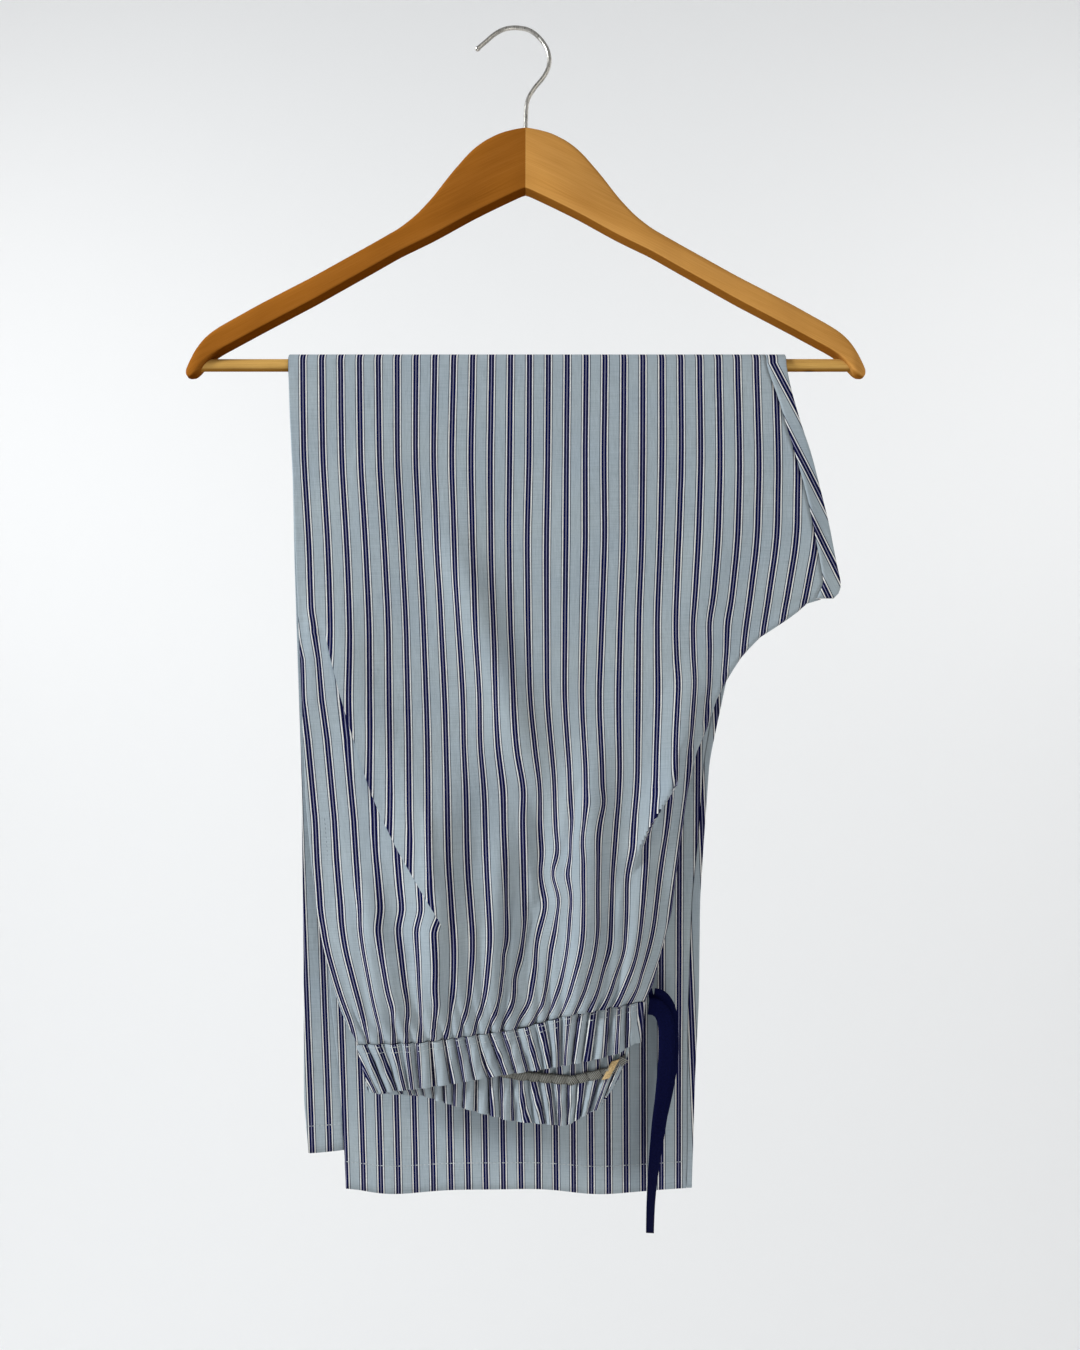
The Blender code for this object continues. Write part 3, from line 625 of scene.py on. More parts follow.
def arc_row(layer, angle):
    radius = arc_radius(layer)
    left = float(soft_column(SIDE_EDGE, BAR_Z, 1))
    right = common_right(BAR_Z)
    outer = front_outer(BAR_Z)
    shares = ply_shares(layer, left, right, 0.0)
    x = left + (right - left) * shares
    y = np.full_like(x, radius * math.cos(angle))
    z = np.full_like(x, BAR_Z + radius * math.sin(angle))
    number = front_stripes(x, z, ~beyond_tuck(layer, shares))
    row = {"x": x, "y": y, "z": z, "n": number}
    if is_back_piece(layer):
        xs, ys, zs, ns = wrap(
            layer, lambda ply, at: 0.0 * at + arc_radius(ply), right, outer, BAR_Z, STRIP_LEAN,
        )
        add_points(row, xs, ys * math.cos(angle), BAR_Z + ys * math.sin(angle), ns)
    return row


def leg_row(layer, z_value):
    table = leg_table(layer)
    hem = hem_height(layer)
    left = float(soft_column(table, z_value, 1))
    fold = float(soft_column(table, z_value, 2))
    right = fold - float(soft_column(table, z_value, 3))
    shares = ply_shares(layer, left, right, 0.0)
    x = left + (right - left) * shares
    wave_start = 29.0 if hem == FAR_HEM_Z else 79.0
    ripple = 0.6 * np.sin(x / 11.0 + 2 * layer) - 1.9 * np.cos(2 * np.pi * (x + wave_start) / 141.0)
    z = z_value + ripple * smooth_step(hem + 60.0, hem, z_value)
    y = back_depth(layer, x, z, left, fold)
    outward = 1.0 if layer in (LEFT_FRONT, RIGHT_BACK) else -1.0
    y = y + outward * 0.25 * smooth_step(hem + HEM_DEPTH + 0.6, hem + HEM_DEPTH - 0.6, z_value)
    number = leg_stripes(x, z, hem)
    row = {"x": x, "y": y, "z": z, "n": along_cloth(x, y, number)}
    if is_back_piece(layer):
        add_points(row, *wrap(
            layer, lambda ply, at: back_depth(ply, at, z[-1], left, fold), right, fold, z[-1], LEG_STRIP_LEAN,
        ))
    return row


def close_side(row, other, thickness):
    """Carry a row round the side seam, halfway to the same place on the piece that it is sewn to."""
    own = np.array([row["x"][0], row["y"][0], row["z"][0]])
    gap = np.array(other) - own
    size = max(float(np.linalg.norm(gap)), 0.1)
    share = max(0.5 - (thickness / 2 + 0.05) / size, 0.02)
    turn = np.linspace(1.0, 0.25, SIDE_STEPS) * math.pi / 2
    points = own + gap * share * (1.0 - np.cos(turn))[:, None]
    outward = 0.4 * size * np.sin(turn)
    row["x"] = np.concatenate([points[:, 0] - outward, row["x"]])
    row["y"] = np.concatenate([points[:, 1], row["y"]])
    row["z"] = np.concatenate([points[:, 2], row["z"]])
    row["n"] = np.concatenate([row["n"][0] - 1.5 * outward / REPEAT, row["n"]])
    return row


def closed_front_row(layer, right_z):
    row = front_row(layer, right_z)
    left, z = float(row["x"][0]), float(row["z"][0])
    other = float(front_depth(PARTNERS[layer], 0.0, left, z, left, front_outer(right_z)))
    return close_side(row, (left, other, z), SHELL)


def closed_arc_row(layer, angle):
    row = arc_row(layer, angle)
    radius = arc_radius(PARTNERS[layer])
    other = (float(row["x"][0]), radius * math.cos(angle), BAR_Z + radius * math.sin(angle))
    return close_side(row, other, SHELL)


def closed_leg_row(layer, z_value):
    row = leg_row(layer, z_value)
    left, z = float(row["x"][0]), float(row["z"][0])
    fold = float(soft_column(leg_table(layer), z_value, 2))
    other = float(back_depth(PARTNERS[layer], left, z, left, fold))
    return close_side(row, (left, other, z), SHELL)


def ply_rows(layer):
    """Rows of one ply from the waist seam over the bar to the hem."""
    seam_z = float(waist_line(layer, 1.0, 0))
    below = int((CROTCH_Z - seam_z) / ROW_STEP)
    heights = list(np.linspace(seam_z, CROTCH_Z - 0.2, below))
    above = int((BAR_Z - CROTCH_Z) / (ROW_STEP * 1.2))
    heights += list(np.linspace(CROTCH_Z + 0.4, BAR_Z - 2.0, above))
    rows = [closed_front_row(layer, z) for z in heights]
    rows += [closed_arc_row(layer, angle) for angle in np.linspace(math.pi, 0.0, BAR_STEPS)]
    hem = hem_height(layer)
    count = int((BAR_Z - hem) / (ROW_STEP * 2.2))
    near_hem = [hem + HEM_DEPTH + 1.0, hem + HEM_DEPTH - 1.0]
    legs = sorted(list(np.linspace(BAR_Z - 2.0, hem, count)) + near_hem, reverse=True)
    rows += [closed_leg_row(layer, z) for z in legs]
    return rows


# Meshes

def link(thing):
    bpy.context.scene.collection.objects.link(thing)
    return thing


def new_object(name, mesh, material):
    thing = link(bpy.data.objects.new(name, mesh))
    mesh.materials.append(material)
    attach(thing, ROOT)
    return thing


def smooth(mesh, angle=50.0):
    mesh.shade_smooth()
    mesh.set_sharp_from_angle(angle=math.radians(angle))


def add_skin(shape, sections, layer=None, is_closed=True):
    """Join sections of (point, coordinates), in metres; closed sections get a lid at each end."""
    rings = [[(shape.verts.new(point), place) for point, place in section] for section in sections]
    size = len(rings[0])
    for here, there in zip(rings, rings[1:]):
        for step in range(size if is_closed else size - 1):
            following = (step + 1) % size
            corners = (here[step], here[following], there[following], there[step])
            face = shape.faces.new([corner[0] for corner in corners])
            if layer is not None:
                for loop, corner in zip(face.loops, corners):
                    loop[layer].uv = corner[1]
    if is_closed:
        shape.faces.new([corner[0] for corner in rings[0]][::-1])
        shape.faces.new([corner[0] for corner in rings[-1]])


def bake(name, shape):
    mesh = bpy.data.meshes.new(name)
    shape.to_mesh(mesh)
    shape.free()
    return mesh


def loft(name, sections, coordinates=None, is_closed=True, angle=50.0):
    """A smooth mesh through sections of (point, coordinates)."""
    shape = bmesh.new()
    layer = shape.loops.layers.uv.new(coordinates) if coordinates else None
    add_skin(shape, sections, layer, is_closed)
    if is_closed:
        bmesh.ops.recalc_face_normals(shape, faces=shape.faces)
    mesh = bake(name, shape)
    smooth(mesh, angle)
    return mesh


def give_wall(thing, name, thickness):
    """Thicken a single skin evenly to both sides."""
    wall = thing.modifiers.new(name, "SOLIDIFY")
    wall.thickness = thickness * MM
    wall.offset = 0.0


def slip_repeats(across, repeat):
    """Take whole repeats out of the steps between corners, and what a tuck hides out of its face."""
    across[:, 1] -= np.round((across[:, 1] - across[:, 0]) / repeat) * repeat
    step = (across[:, 3] - across[:, 0]) / repeat
    across[:, 3] -= np.where(np.abs(step) > 0.8, np.round(step), 0.0) * repeat
    across[:, 2] -= np.round((across[:, 2] - across[:, 3]) / repeat) * repeat
    hidden = np.abs(across[:, 1] - across[:, 0]) > HIDDEN_SHARE * repeat
    across[hidden, 1] = across[hidden, 0]
    across[hidden, 2] = across[hidden, 3]


def sheet_object(name, rows, thickness, material):
    """Join rows into a shell, as far across as both rows reach, with cloth coordinates."""
    vertices = []
    coordinates = []
    starts = []
    travelled = 0.0
    previous = None
    for row in rows:
        starts.append(len(vertices))
        here = np.array([row["x"][0], row["y"][0], row["z"][0]])
        if previous is not None:
            travelled += float(np.linalg.norm(here - previous))
        previous = here
        for x, y, z, number in zip(row["x"], row["y"], row["z"], row["n"]):
            vertices.append((x * MM, y * MM, z * MM))
            coordinates.append((number * REPEAT * MM, travelled * MM))
    faces = []
    for index in range(len(rows) - 1):
        width = min(len(rows[index]["x"]), len(rows[index + 1]["x"]))
        a, b = starts[index], starts[index + 1]
        faces += [(a + k, a + k + 1, b + k + 1, b + k) for k in range(width - 1)]
    mesh = bpy.data.meshes.new(name)
    mesh.from_pydata(vertices, [], faces)
    layer = mesh.uv_layers.new(name="cloth")
    corners = np.array(coordinates)[np.array(faces)]
    slip_repeats(corners[:, :, 0], REPEAT * MM)
    layer.data.foreach_set("uv", corners.ravel())
    shape = bmesh.new()
    shape.from_mesh(mesh)
    loose = [vertex for vertex in shape.verts if not vertex.link_faces]
    bmesh.ops.delete(shape, geom=loose, context="VERTS")
    shape.to_mesh(mesh)
    shape.free()
    smooth(mesh, 60.0)
    thing = new_object(name, mesh, material)
    give_wall(thing, "Cloth", thickness)
    return thing


def casing_slant(layer, share, part):
    """Share of the width by which the gathers lean on their way down."""
    return 0.028 * (part - 0.3) * np.sin(2 * np.pi * (1.7 * share + 0.25 * layer + 0.1)) - 0.012 * part


def casing_point(layer, share, part):
    """Points across one gathered quarter of the waistband at a share of its height."""
    seam_right_z = float(waist_line(layer, 1.0, 0))
    top_left = float(soft_column(SIDE_EDGE, float(waist_line(layer, 0.0, 0)), 1))
    top_right = common_right(seam_right_z)
    is_back = is_back_piece(layer)
    low_right = BACK_CASING_RIGHT_BOTTOM_X if is_back else CASING_RIGHT_BOTTOM_X - CB_INSET
    left = top_left + (CASING_LEFT_BOTTOM_X - top_left) * part
    right = top_right + (low_right - top_right) * part
    top = waist_line(layer, share, 0) - SEAM_DROP * (1.0 - part)
    low = waist_line(layer, share, 1)
    x = left + (right - left) * share
    wave = gather_wave(share + casing_slant(layer, share, part), layer)
    wave = wave + 0.22 * np.sin(2 * np.pi * (34.0 * share + 0.8 * part)) * math.sin(math.pi * part)
    z = top + (low - top) * part + 0.7 * wave * part
    middle = waist_pitch(WAIST_DEPTH_Z)
    edge, stack = stack_depth(layer, x, WAIST_DEPTH_Z, left, right, middle, WAIST_EDGE_PITCH)
    puff = 0.7 * math.sin(math.pi * min(part, 1.0))
    depth = GATHER_DEPTH * (1.0 + 0.35 * part)
    x = x + 1.1 * part * np.sin(2 * np.pi * (3.3 * share + 0.4 * layer))
    return x, -(stack + puff) - depth * wave * smooth_step(0.0, 5.0, edge), z, left, right


def make_casing(name, layer, material):
    """One gathered quarter of the waistband, with rolled edges."""
    shares = np.linspace(0.0, 1.0, GATHERS * 10 + 1)
    rows = []
    for part in np.concatenate([[0.0, 0.04, 0.1], np.linspace(0.18, 0.94, 10), [0.98, 1.0]]):
        x, y, z, left, right = casing_point(layer, shares, float(part))
        number = BAND_FIRST_STRIPE + BAND_STRIPES * (shares + casing_slant(layer, shares, float(part)))
        number = number + 0.2 * np.sin(2 * np.pi * (5.3 * shares + 0.1 * part)) * (0.6 + 0.4 * part)
        row = {"x": x, "y": y, "z": z, "n": number}
        if not is_back_piece(layer):
            turn_to_seam(row, layer, right, WAIST_DEPTH_Z, CASING_SHELL + 0.2, 0.08)
        other = [float(values[0]) for values in casing_point(PARTNERS[layer], shares[:1], float(part))[:3]]
        rows.append(close_side(row, other, CASING_SHELL))
    thing = sheet_object(name, rows, CASING_SHELL, material)
    bevel = thing.modifiers.new("Rolled edge", "BEVEL")
    bevel.width = 0.45 * MM
    bevel.segments = 3
    bevel.limit_method = "ANGLE"
    bevel.angle_limit = math.radians(60.0)
    return thing


def thread_run(name, points, outward, material, length=2.1, width=0.5, height=0.32, tilt=0.0):
    """A row of stitches, each a small rounded bar of thread along the line of points."""
    shape = bmesh.new()
    for index, point in enumerate(points):
        following = points[min(index + 1, len(points) - 1)]
        before = points[max(index - 1, 0)]
        along = (following - before).normalized()
        normal = Vector((0.0, outward, 0.0))
        normal = (normal - along * normal.dot(along)).normalized()
        across = along.cross(normal)
        if tilt:
            turned = along * math.cos(tilt) + across * math.sin(tilt)
            across = across * math.cos(tilt) - along * math.sin(tilt)
            along = turned
        sections = []
        for position, size in ((-0.5, 0.35), (-0.3, 1.0), (0.3, 1.0), (0.5, 0.35)):
            centre = point + along * position * length * MM
            angles = [corner * math.pi / 3 for corner in range(6)]
            offsets = [across * math.cos(a) * width / 2 + normal * math.sin(a) * height / 2 for a in angles]
            sections.append([(centre + offset * size * MM, None) for offset in offsets])
        add_skin(shape, sections)
    bmesh.ops.recalc_face_normals(shape, faces=shape.faces)
    mesh = bake(name, shape)
    mesh.shade_smooth()
    return new_object(name, mesh, material)


def even_points(points, spacing):
    """Walk along a list of points and give places an even distance apart."""
    points = np.array(points)
    lengths = np.concatenate([[0.0], np.cumsum(np.linalg.norm(np.diff(points, axis=0), axis=1))])
    places = np.arange(spacing / 2, lengths[-1], spacing)
    return [Vector([np.interp(p, lengths, points[:, k]) * MM for k in range(3)]) for p in places]


def hem_stitches(name, layer, material, outward):
    hem = hem_height(layer)
    row = leg_row(layer, hem + HEM_DEPTH)
    lift = outward * (SHELL / 2 + STITCH_LIFT)
    points = [(x, y + lift, z) for x, y, z in zip(row["x"], row["y"], row["z"])][:COLUMNS - 2]
    places = even_points(points, STITCH_SPACING)
    return thread_run(name, places, outward, material)


def casing_stitches(name, part, material):
    """Stitches across the outer quarter of the waistband at a share of its height."""
    shares = np.linspace(0.004, 0.996, 600)
    x, y, z, left, right = casing_point(LEFT_FRONT, shares, part)
    places = even_points(list(zip(x, y - CASING_SHELL / 2 - STITCH_LIFT, z)), BAND_STITCH_SPACING)
    return thread_run(name, places, -1.0, material)


def side_stitches(name, material):
    """Topstitching beside the left side seam of the outer ply."""
    points = []
    for right_z in np.linspace(-500.0, -634.0, 60):
        row = front_row(LEFT_FRONT, right_z, np.linspace(0.0, 0.072, 3))
        points.append((row["x"][1] + 2.0, row["y"][1] - SHELL / 2 - STITCH_LIFT, row["z"][1]))
    places = even_points(points, STITCH_SPACING)
    return thread_run(name, places, -1.0, material, length=1.9, width=0.45)


def overlock(name, strip_name, strip_material, thread_material):
    """The overlocked edge inside the back waistband: a flat strip with slanted loops."""
    shares = np.linspace(0.3, 0.99, 200)
    x, y, z, left, right = casing_point(LEFT_BACK, shares, 0.0)
    padded = np.pad(y, 6, mode="edge")
    crests = np.min([padded[start:start + len(y)] for start in range(13)], axis=0)
    y = 0.5 * y + 0.5 * crests
    rows = [
        {"x": x, "y": y - CASING_SHELL / 2 - 0.35, "z": z + offset, "n": shares} for offset in (3.2, -3.0)
    ]
    sheet_object(strip_name, rows, 0.4, strip_material)
    places = even_points(list(zip(x, y - CASING_SHELL / 2 - 0.75, z)), LOOP_SPACING)
    return thread_run(
        name, places, -1.0, thread_material, length=6.4, width=0.62, height=0.6, tilt=math.radians(66.0),
    )


def smooth_route(route, steps):
    """Points of a smooth curve through the rows of a route."""
    rows = np.array(route, float)
    padded = np.vstack([2 * rows[0] - rows[1], rows, 2 * rows[-1] - rows[-2]])
    result = []
    for index in range(1, len(padded) - 2):
        a, b, c, d = padded[index - 1:index + 3]
        for step in range(steps):
            t = step / steps
            result.append(0.5 * (2 * b + (c - a) * t + (2 * a - 5 * b + 4 * c - d) * t * t
                                 + (3 * b - a - 3 * c + d) * t ** 3))
    result.append(rows[-1])
    return result


def make_ribbon(name, route, material, node):
    """A flat woven ribbon along its centreline, with soft thick edges."""
    points = smooth_route(route, 5)
    sections = []
    travelled = 0.0
    for index, (x, y, z, turn) in enumerate(points):
        centre = Vector((x, y, z))
        before = Vector(points[max(index - 1, 0)][:3])
        after = Vector(points[min(index + 1, len(points) - 1)][:3])
        travelled += (centre - before).length
        along = (after - before).normalized()
        angle = math.radians(turn)
        level = Vector((math.cos(angle), math.sin(angle), 0.0))
        level = (level - along * level.dot(along)).normalized()
        sideways = along.cross(Vector((0.0, 1.0, 0.0))).normalized()
        if sideways.dot(level) < 0.0:
            sideways = -sideways
        upright = float(smooth_step(0.35, 0.85, abs(along.z)))
        across = sideways.lerp(level, upright).normalized()
        normal = along.cross(across).normalized()
        slope = END_CUT if index == len(points) - 1 else 0.0
        section = []
        for side, face in RIBBON_PROFILE:
            point = centre + across * side * RIBBON_WIDTH + normal * face * RIBBON_WALL
            point.z -= slope * side * RIBBON_WIDTH * across.y
            section.append((point * MM, (side * RIBBON_WIDTH * MM, travelled * MM)))
        sections.append(section)
    ribbon = new_object(name, loft(name, sections, "cloth", angle=60.0), material)
    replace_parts(ribbon, node)
    return ribbon


def hanger_point(out, side, depth, z):
    sweep = HANGER_SWEEP * (out / SWEEP_REACH) ** SWEEP_POWER
    return Vector((ARM_CENTRE_X + side * out, HANGER_TILT * z + sweep + depth, z))


def arm_section(out, side):
    """Points round one slice of an arm, each with its place in the grain."""
    reach = min(3.5, ARM_REACH - out + 0.2)
    top = float(soft_column(ARM_OUTLINE, out, 1, reach))
    low = float(soft_column(ARM_OUTLINE, out, 2, reach))
    half = ARM_DEPTH / 2
    if out > ARM_TIP_START:
        half *= math.sqrt(max(1.0 - ((out - ARM_TIP_START) / ARM_TIP_LENGTH) ** 2, 0.06))
    upper = min(ARM_CORNER, (top - low) * 0.42, half * 0.8)
    tip_share = float(smooth_step(195.0, 222.0, out))
    lower = min(ARM_LOWER_CORNER + (upper - ARM_LOWER_CORNER) * tip_share, (top - low) * 0.42)
    section = []
    for corner, centre_depth, centre_z, start in (
        (upper, half - upper, top - upper, 0), (upper, -half + upper, top - upper, 90),
        (lower, -half + lower, low + lower, 180), (lower, half - lower, low + lower, 270),
    ):
        for step in range(5):
            angle = math.radians(start + step * 22.5)
            depth = centre_depth + corner * math.cos(angle)
            z = centre_z + corner * math.sin(angle)
            place = hanger_point(max(out, MITRE_GAP), side, depth, z)
            section.append((place * MM, (out * MM, (z + GRAIN_SLOPE * out + depth * 0.4) * MM)))
    return section


def make_arm(name, side, material):
    """One wooden arm with rounded edges, lofted through many slices from the mitre to the tip."""
    outs = np.concatenate([
        np.linspace(0.0, 90.0, 40), np.linspace(94.0, 205.0, 32), np.linspace(207.0, ARM_REACH, 14),
    ])
    sections = [arm_section(float(out), side) for out in outs]
    return new_object(name, loft(name, sections, "grain"), material)


def make_bar(name, material):
    """The round trouser bar."""
    sections = []
    for x in np.linspace(BAR_LEFT_X, BAR_RIGHT_X, 60):
        radius = BAR_RADIUS + 0.04 * math.sin(x / 23.0)
        section = []
        for step in range(BAR_SIDES):
            angle = step * 2 * math.pi / BAR_SIDES
            place = Vector((x, radius * math.cos(angle), BAR_Z + radius * math.sin(angle)))
            section.append((place * MM, (x * MM, angle * BAR_RADIUS * MM)))
        sections.append(section)
    return new_object(name, loft(name, sections, "grain"), material)


def make_hook(name, material):
    """The bent wire hook with a small rounded tip."""
    points = HOOK_LINE + ((SHANK_X, ARM_OUTLINE[0][1] - SHANK_DEPTH),)
    route = [Vector(place) for place in smooth_route([(x, HANGER_TILT * z, z) for x, z in points], 5)]
    heading = (route[1] - route[0]).normalized()
    stations = [
        (route[0] + heading * (offset + 0.3) * HOOK_WIRE / 2, heading, size)
        for offset, size in ((-1.5, 0.4), (-1.3, 0.75), (-0.9, 1.05), (-0.4, 1.18), (0.2, 1.12), (0.8, 1.0))
    ]
    for index in range(1, len(route)):
        after = route[min(index + 1, len(route) - 1)]
        stations.append((route[index], (after - route[index - 1]).normalized(), 1.0))
    sections = []
    for centre, along, size in stations:
        side = along.cross(Vector((0.0, 1.0, 0.0))).normalized()
        up = side.cross(along)
        angles = [step * 2 * math.pi / WIRE_SIDES for step in range(WIRE_SIDES)]
        offsets = [(side * math.cos(a) + up * math.sin(a)) * size * HOOK_WIRE / 2 for a in angles]
        sections.append([((centre + offset) * MM, None) for offset in offsets])
    return new_object(name, loft(name, sections), material)


def make_label(name, material):
    """A blank folded tab of beige tape, a little curled."""
    seam_z = float(waist_line(LEFT_BACK, LABEL_SHARE, 0))
    low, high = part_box("label_tab")
    centre_y = (low[1] + high[1]) / 2 / MM
    columns, rows = 10, 16
    sections = []
    for row in range(rows + 1):
        up = row / rows - 0.5
        section = []
        for step in range(columns + 1):
            across = step / columns - 0.5
            x = LABEL_X + across * LABEL_WIDTH + LABEL_LEAN * up
            y = centre_y - 0.5 * math.cos(across * 2.6) - 0.5 * (0.5 - up) ** 2
            z = seam_z + 1.5 + up * LABEL_HEIGHT + 1.5 * across
            section.append((Vector((x, y, z)) * MM, (x * MM, z * MM)))
        sections.append(section)
    tab = new_object(name, loft(name, sections, "cloth", is_closed=False), material)
    give_wall(tab, "Tape", 0.6)
    return tab


# Materials

def grey(level):
    return (level, level, level)


class Nodes:
    """Short calls for building a node tree."""

    def __init__(self, name):
        self.material = bpy.data.materials.new(name)
        self.material.use_nodes = True
        self.tree = self.material.node_tree
        self.shader = self.tree.nodes["Principled BSDF"]

    def add(self, kind, inputs=None, **settings):
        node = self.tree.nodes.new(kind)
        for key, value in settings.items():
            setattr(node, key, value)
        for key, value in (inputs or {}).items():
            self.put(node, key, value)
        return node

    def put(self, node, key, value):
        if isinstance(value, bpy.types.NodeSocket):
            self.tree.links.new(value, node.inputs[key])
        else:
            node.inputs[key].default_value = value

    def math(self, operation, first, second=0.0):
        return self.add("ShaderNodeMath", {0: first, 1: second}, operation=operation).outputs[0]

    def wave(self, value, period):
        return self.math("SINE", self.math("MULTIPLY", value, 2 * math.pi / period))

    def multiply(self, first, second):
        inputs = {"Fac": 1.0, "Color1": first, "Color2": second}
        return self.add("ShaderNodeMixRGB", inputs, blend_type="MULTIPLY").outputs["Color"]

    def ramp(self, value, stops):
        node = self.add("ShaderNodeValToRGB", {"Fac": value})
        elements = node.color_ramp.elements
        while len(elements) > 1:
            elements.remove(elements[-1])
        elements[0].position = stops[0][0]
        elements[0].color = (*stops[0][1], 1.0)
        for position, colour in stops[1:]:
            elements.new(position).color = (*colour, 1.0)
        return node.outputs["Color"]

    def tint(self, value, colour, darker, lighter):
        """Vary a colour between a darker and a lighter tone of itself."""
        dark = tuple(darker * part for part in colour)
        light = tuple(min(1.0, lighter * part) for part in colour)
        return self.ramp(value, ((0.3, dark), (0.7, light)))

    def uv(self, name):
        return self.add("ShaderNodeUVMap", uv_map=name).outputs["UV"]

    def split(self, vector):
        return self.add("ShaderNodeSeparateXYZ", {"Vector": vector}).outputs

    def noise(self, vector, scale, detail=2.0, roughness=0.5):
        """Noise at one scale, or with a scale for each direction."""
        if isinstance(scale, tuple):
            vector = self.add("ShaderNodeMapping", {"Vector": vector, "Scale": scale}).outputs["Vector"]
            scale = 1.0
        inputs = {"Vector": vector, "Scale": scale, "Detail": detail, "Roughness": roughness}
        return self.add("ShaderNodeTexNoise", inputs).outputs["Fac"]

    def bump(self, height, distance, strength, normal=None):
        inputs = {"Height": height, "Distance": distance, "Strength": strength}
        if normal is not None:
            inputs["Normal"] = normal
        return self.add("ShaderNodeBump", inputs).outputs["Normal"]

    def surface(self, inputs):
        for key, value in inputs.items():
            self.put(self.shader, key, value)
        return self.material


GROUND = (0.346, 0.404, 0.444)
NAVY = (0.002, 0.003, 0.042)
LILAC = (0.26, 0.26, 0.37)
CREAM = (0.74, 0.74, 0.72)
SLATE = (0.035, 0.045, 0.075)
# Distance from the middle of a stripe, as a share of half a repeat, and the colour there
STRIPE_STOPS = (
    (0.0, LILAC), (0.032, LILAC), (0.046, NAVY), (0.272, NAVY), (0.286, CREAM), (0.384, CREAM),
    (0.414, SLATE), (0.470, SLATE), (0.508, GROUND), (1.0, GROUND),
)
WEAVE = 0.00042
# The bar's knot: place along the bar and round it in metres, then its radius
BAR_KNOT = (0.191, 0.0193)
KNOT_RADIUS = 0.0032
# Keeps the count of repeats above zero, with a stripe's middle on each whole number
COUNT_START = 1000.5


def striped_cotton():
    """Yarn dyed cotton: two navy lines with lilac between, cream and slate lines on each side."""
    nodes = Nodes("striped_cotton")
    uv = nodes.uv("cloth")
    parts = nodes.split(uv)
    wander = nodes.math("SUBTRACT", nodes.noise(uv, (40.0, 40.0, 1.0), 1.0), 0.5)
    count = nodes.math("DIVIDE", parts["X"], REPEAT * MM)
    count = nodes.math("ADD", count, nodes.math("MULTIPLY", wander, 0.012))
    place = nodes.math("FRACT", nodes.math("ADD", count, COUNT_START))
    distance = nodes.math("MULTIPLY", nodes.math("ABSOLUTE", nodes.math("SUBTRACT", place, 0.5)), 2.0)
    slub = nodes.math("ADD", nodes.noise(uv, (2600.0, 60.0, 1.0)), nodes.noise(uv, (60.0, 2600.0, 1.0)))
    threads = nodes.ramp(nodes.math("MULTIPLY", slub, 0.5), ((0.35, grey(0.86)), (0.65, grey(1.12))))
    patch = nodes.ramp(nodes.noise(uv, 22.0, 3.0), ((0.3, (0.95, 0.96, 0.98)), (0.7, (1.04, 1.03, 1.01))))
    colour = nodes.multiply(nodes.multiply(nodes.ramp(distance, STRIPE_STOPS), threads), patch)
    weave = nodes.math("MULTIPLY", nodes.wave(parts["X"], WEAVE), nodes.wave(parts["Y"], WEAVE))
    normal = nodes.bump(nodes.noise(uv, (240.0, 120.0, 1.0), 4.0, 0.6), 0.0007, 0.55)
    return nodes.surface({
        "Base Color": colour, "Roughness": 0.88, "Specular IOR Level": 0.08,
        "Normal": nodes.bump(weave, 0.00005, 0.5, normal),
    })


def plain_cloth(name, colour, rib_period):
    """Plain tape or ribbon with a fine rib across it and a twill."""
    nodes = Nodes(name)
    uv = nodes.uv("cloth")
    parts = nodes.split(uv)
    lean = nodes.math("ADD", parts["X"], nodes.math("MULTIPLY", parts["Y"], 0.5))
    relief = nodes.math("ADD", nodes.wave(parts["Y"], rib_period), nodes.wave(lean, rib_period * 1.3))
    return nodes.surface({
        "Base Color": nodes.tint(nodes.noise(uv, (900.0, 900.0, 1.0), 3.0), colour, 0.75, 1.3),
        "Roughness": 0.85, "Specular IOR Level": 0.02, "Normal": nodes.bump(relief, 0.0001, 0.6),
    })


def thread(name, colour):
    nodes = Nodes(name)
    place = nodes.add("ShaderNodeTexCoord").outputs["Object"]
    tone = nodes.tint(nodes.noise(place, 3000.0), colour, 0.8, 1.2)
    return nodes.surface({"Base Color": tone, "Roughness": 0.75})


def knot_mark(nodes, uv, knot):
    """A round dark knot, a little longer along the grain."""
    parts = nodes.split(uv)
    along = nodes.math("MULTIPLY", nodes.math("SUBTRACT", parts["X"], knot[0]), 0.55)
    across = nodes.math("SUBTRACT", parts["Y"], knot[1])
    squares = [nodes.math("MULTIPLY", way, way) for way in (along, across)]
    reach = nodes.math("DIVIDE", nodes.math("SQRT", nodes.math("ADD", *squares)), KNOT_RADIUS)
    return nodes.ramp(reach, (
        (0.0, (0.12, 0.10, 0.08)), (0.3, (0.35, 0.28, 0.22)), (0.5, (0.7, 0.62, 0.55)), (1.0, grey(1.0)),
    ))


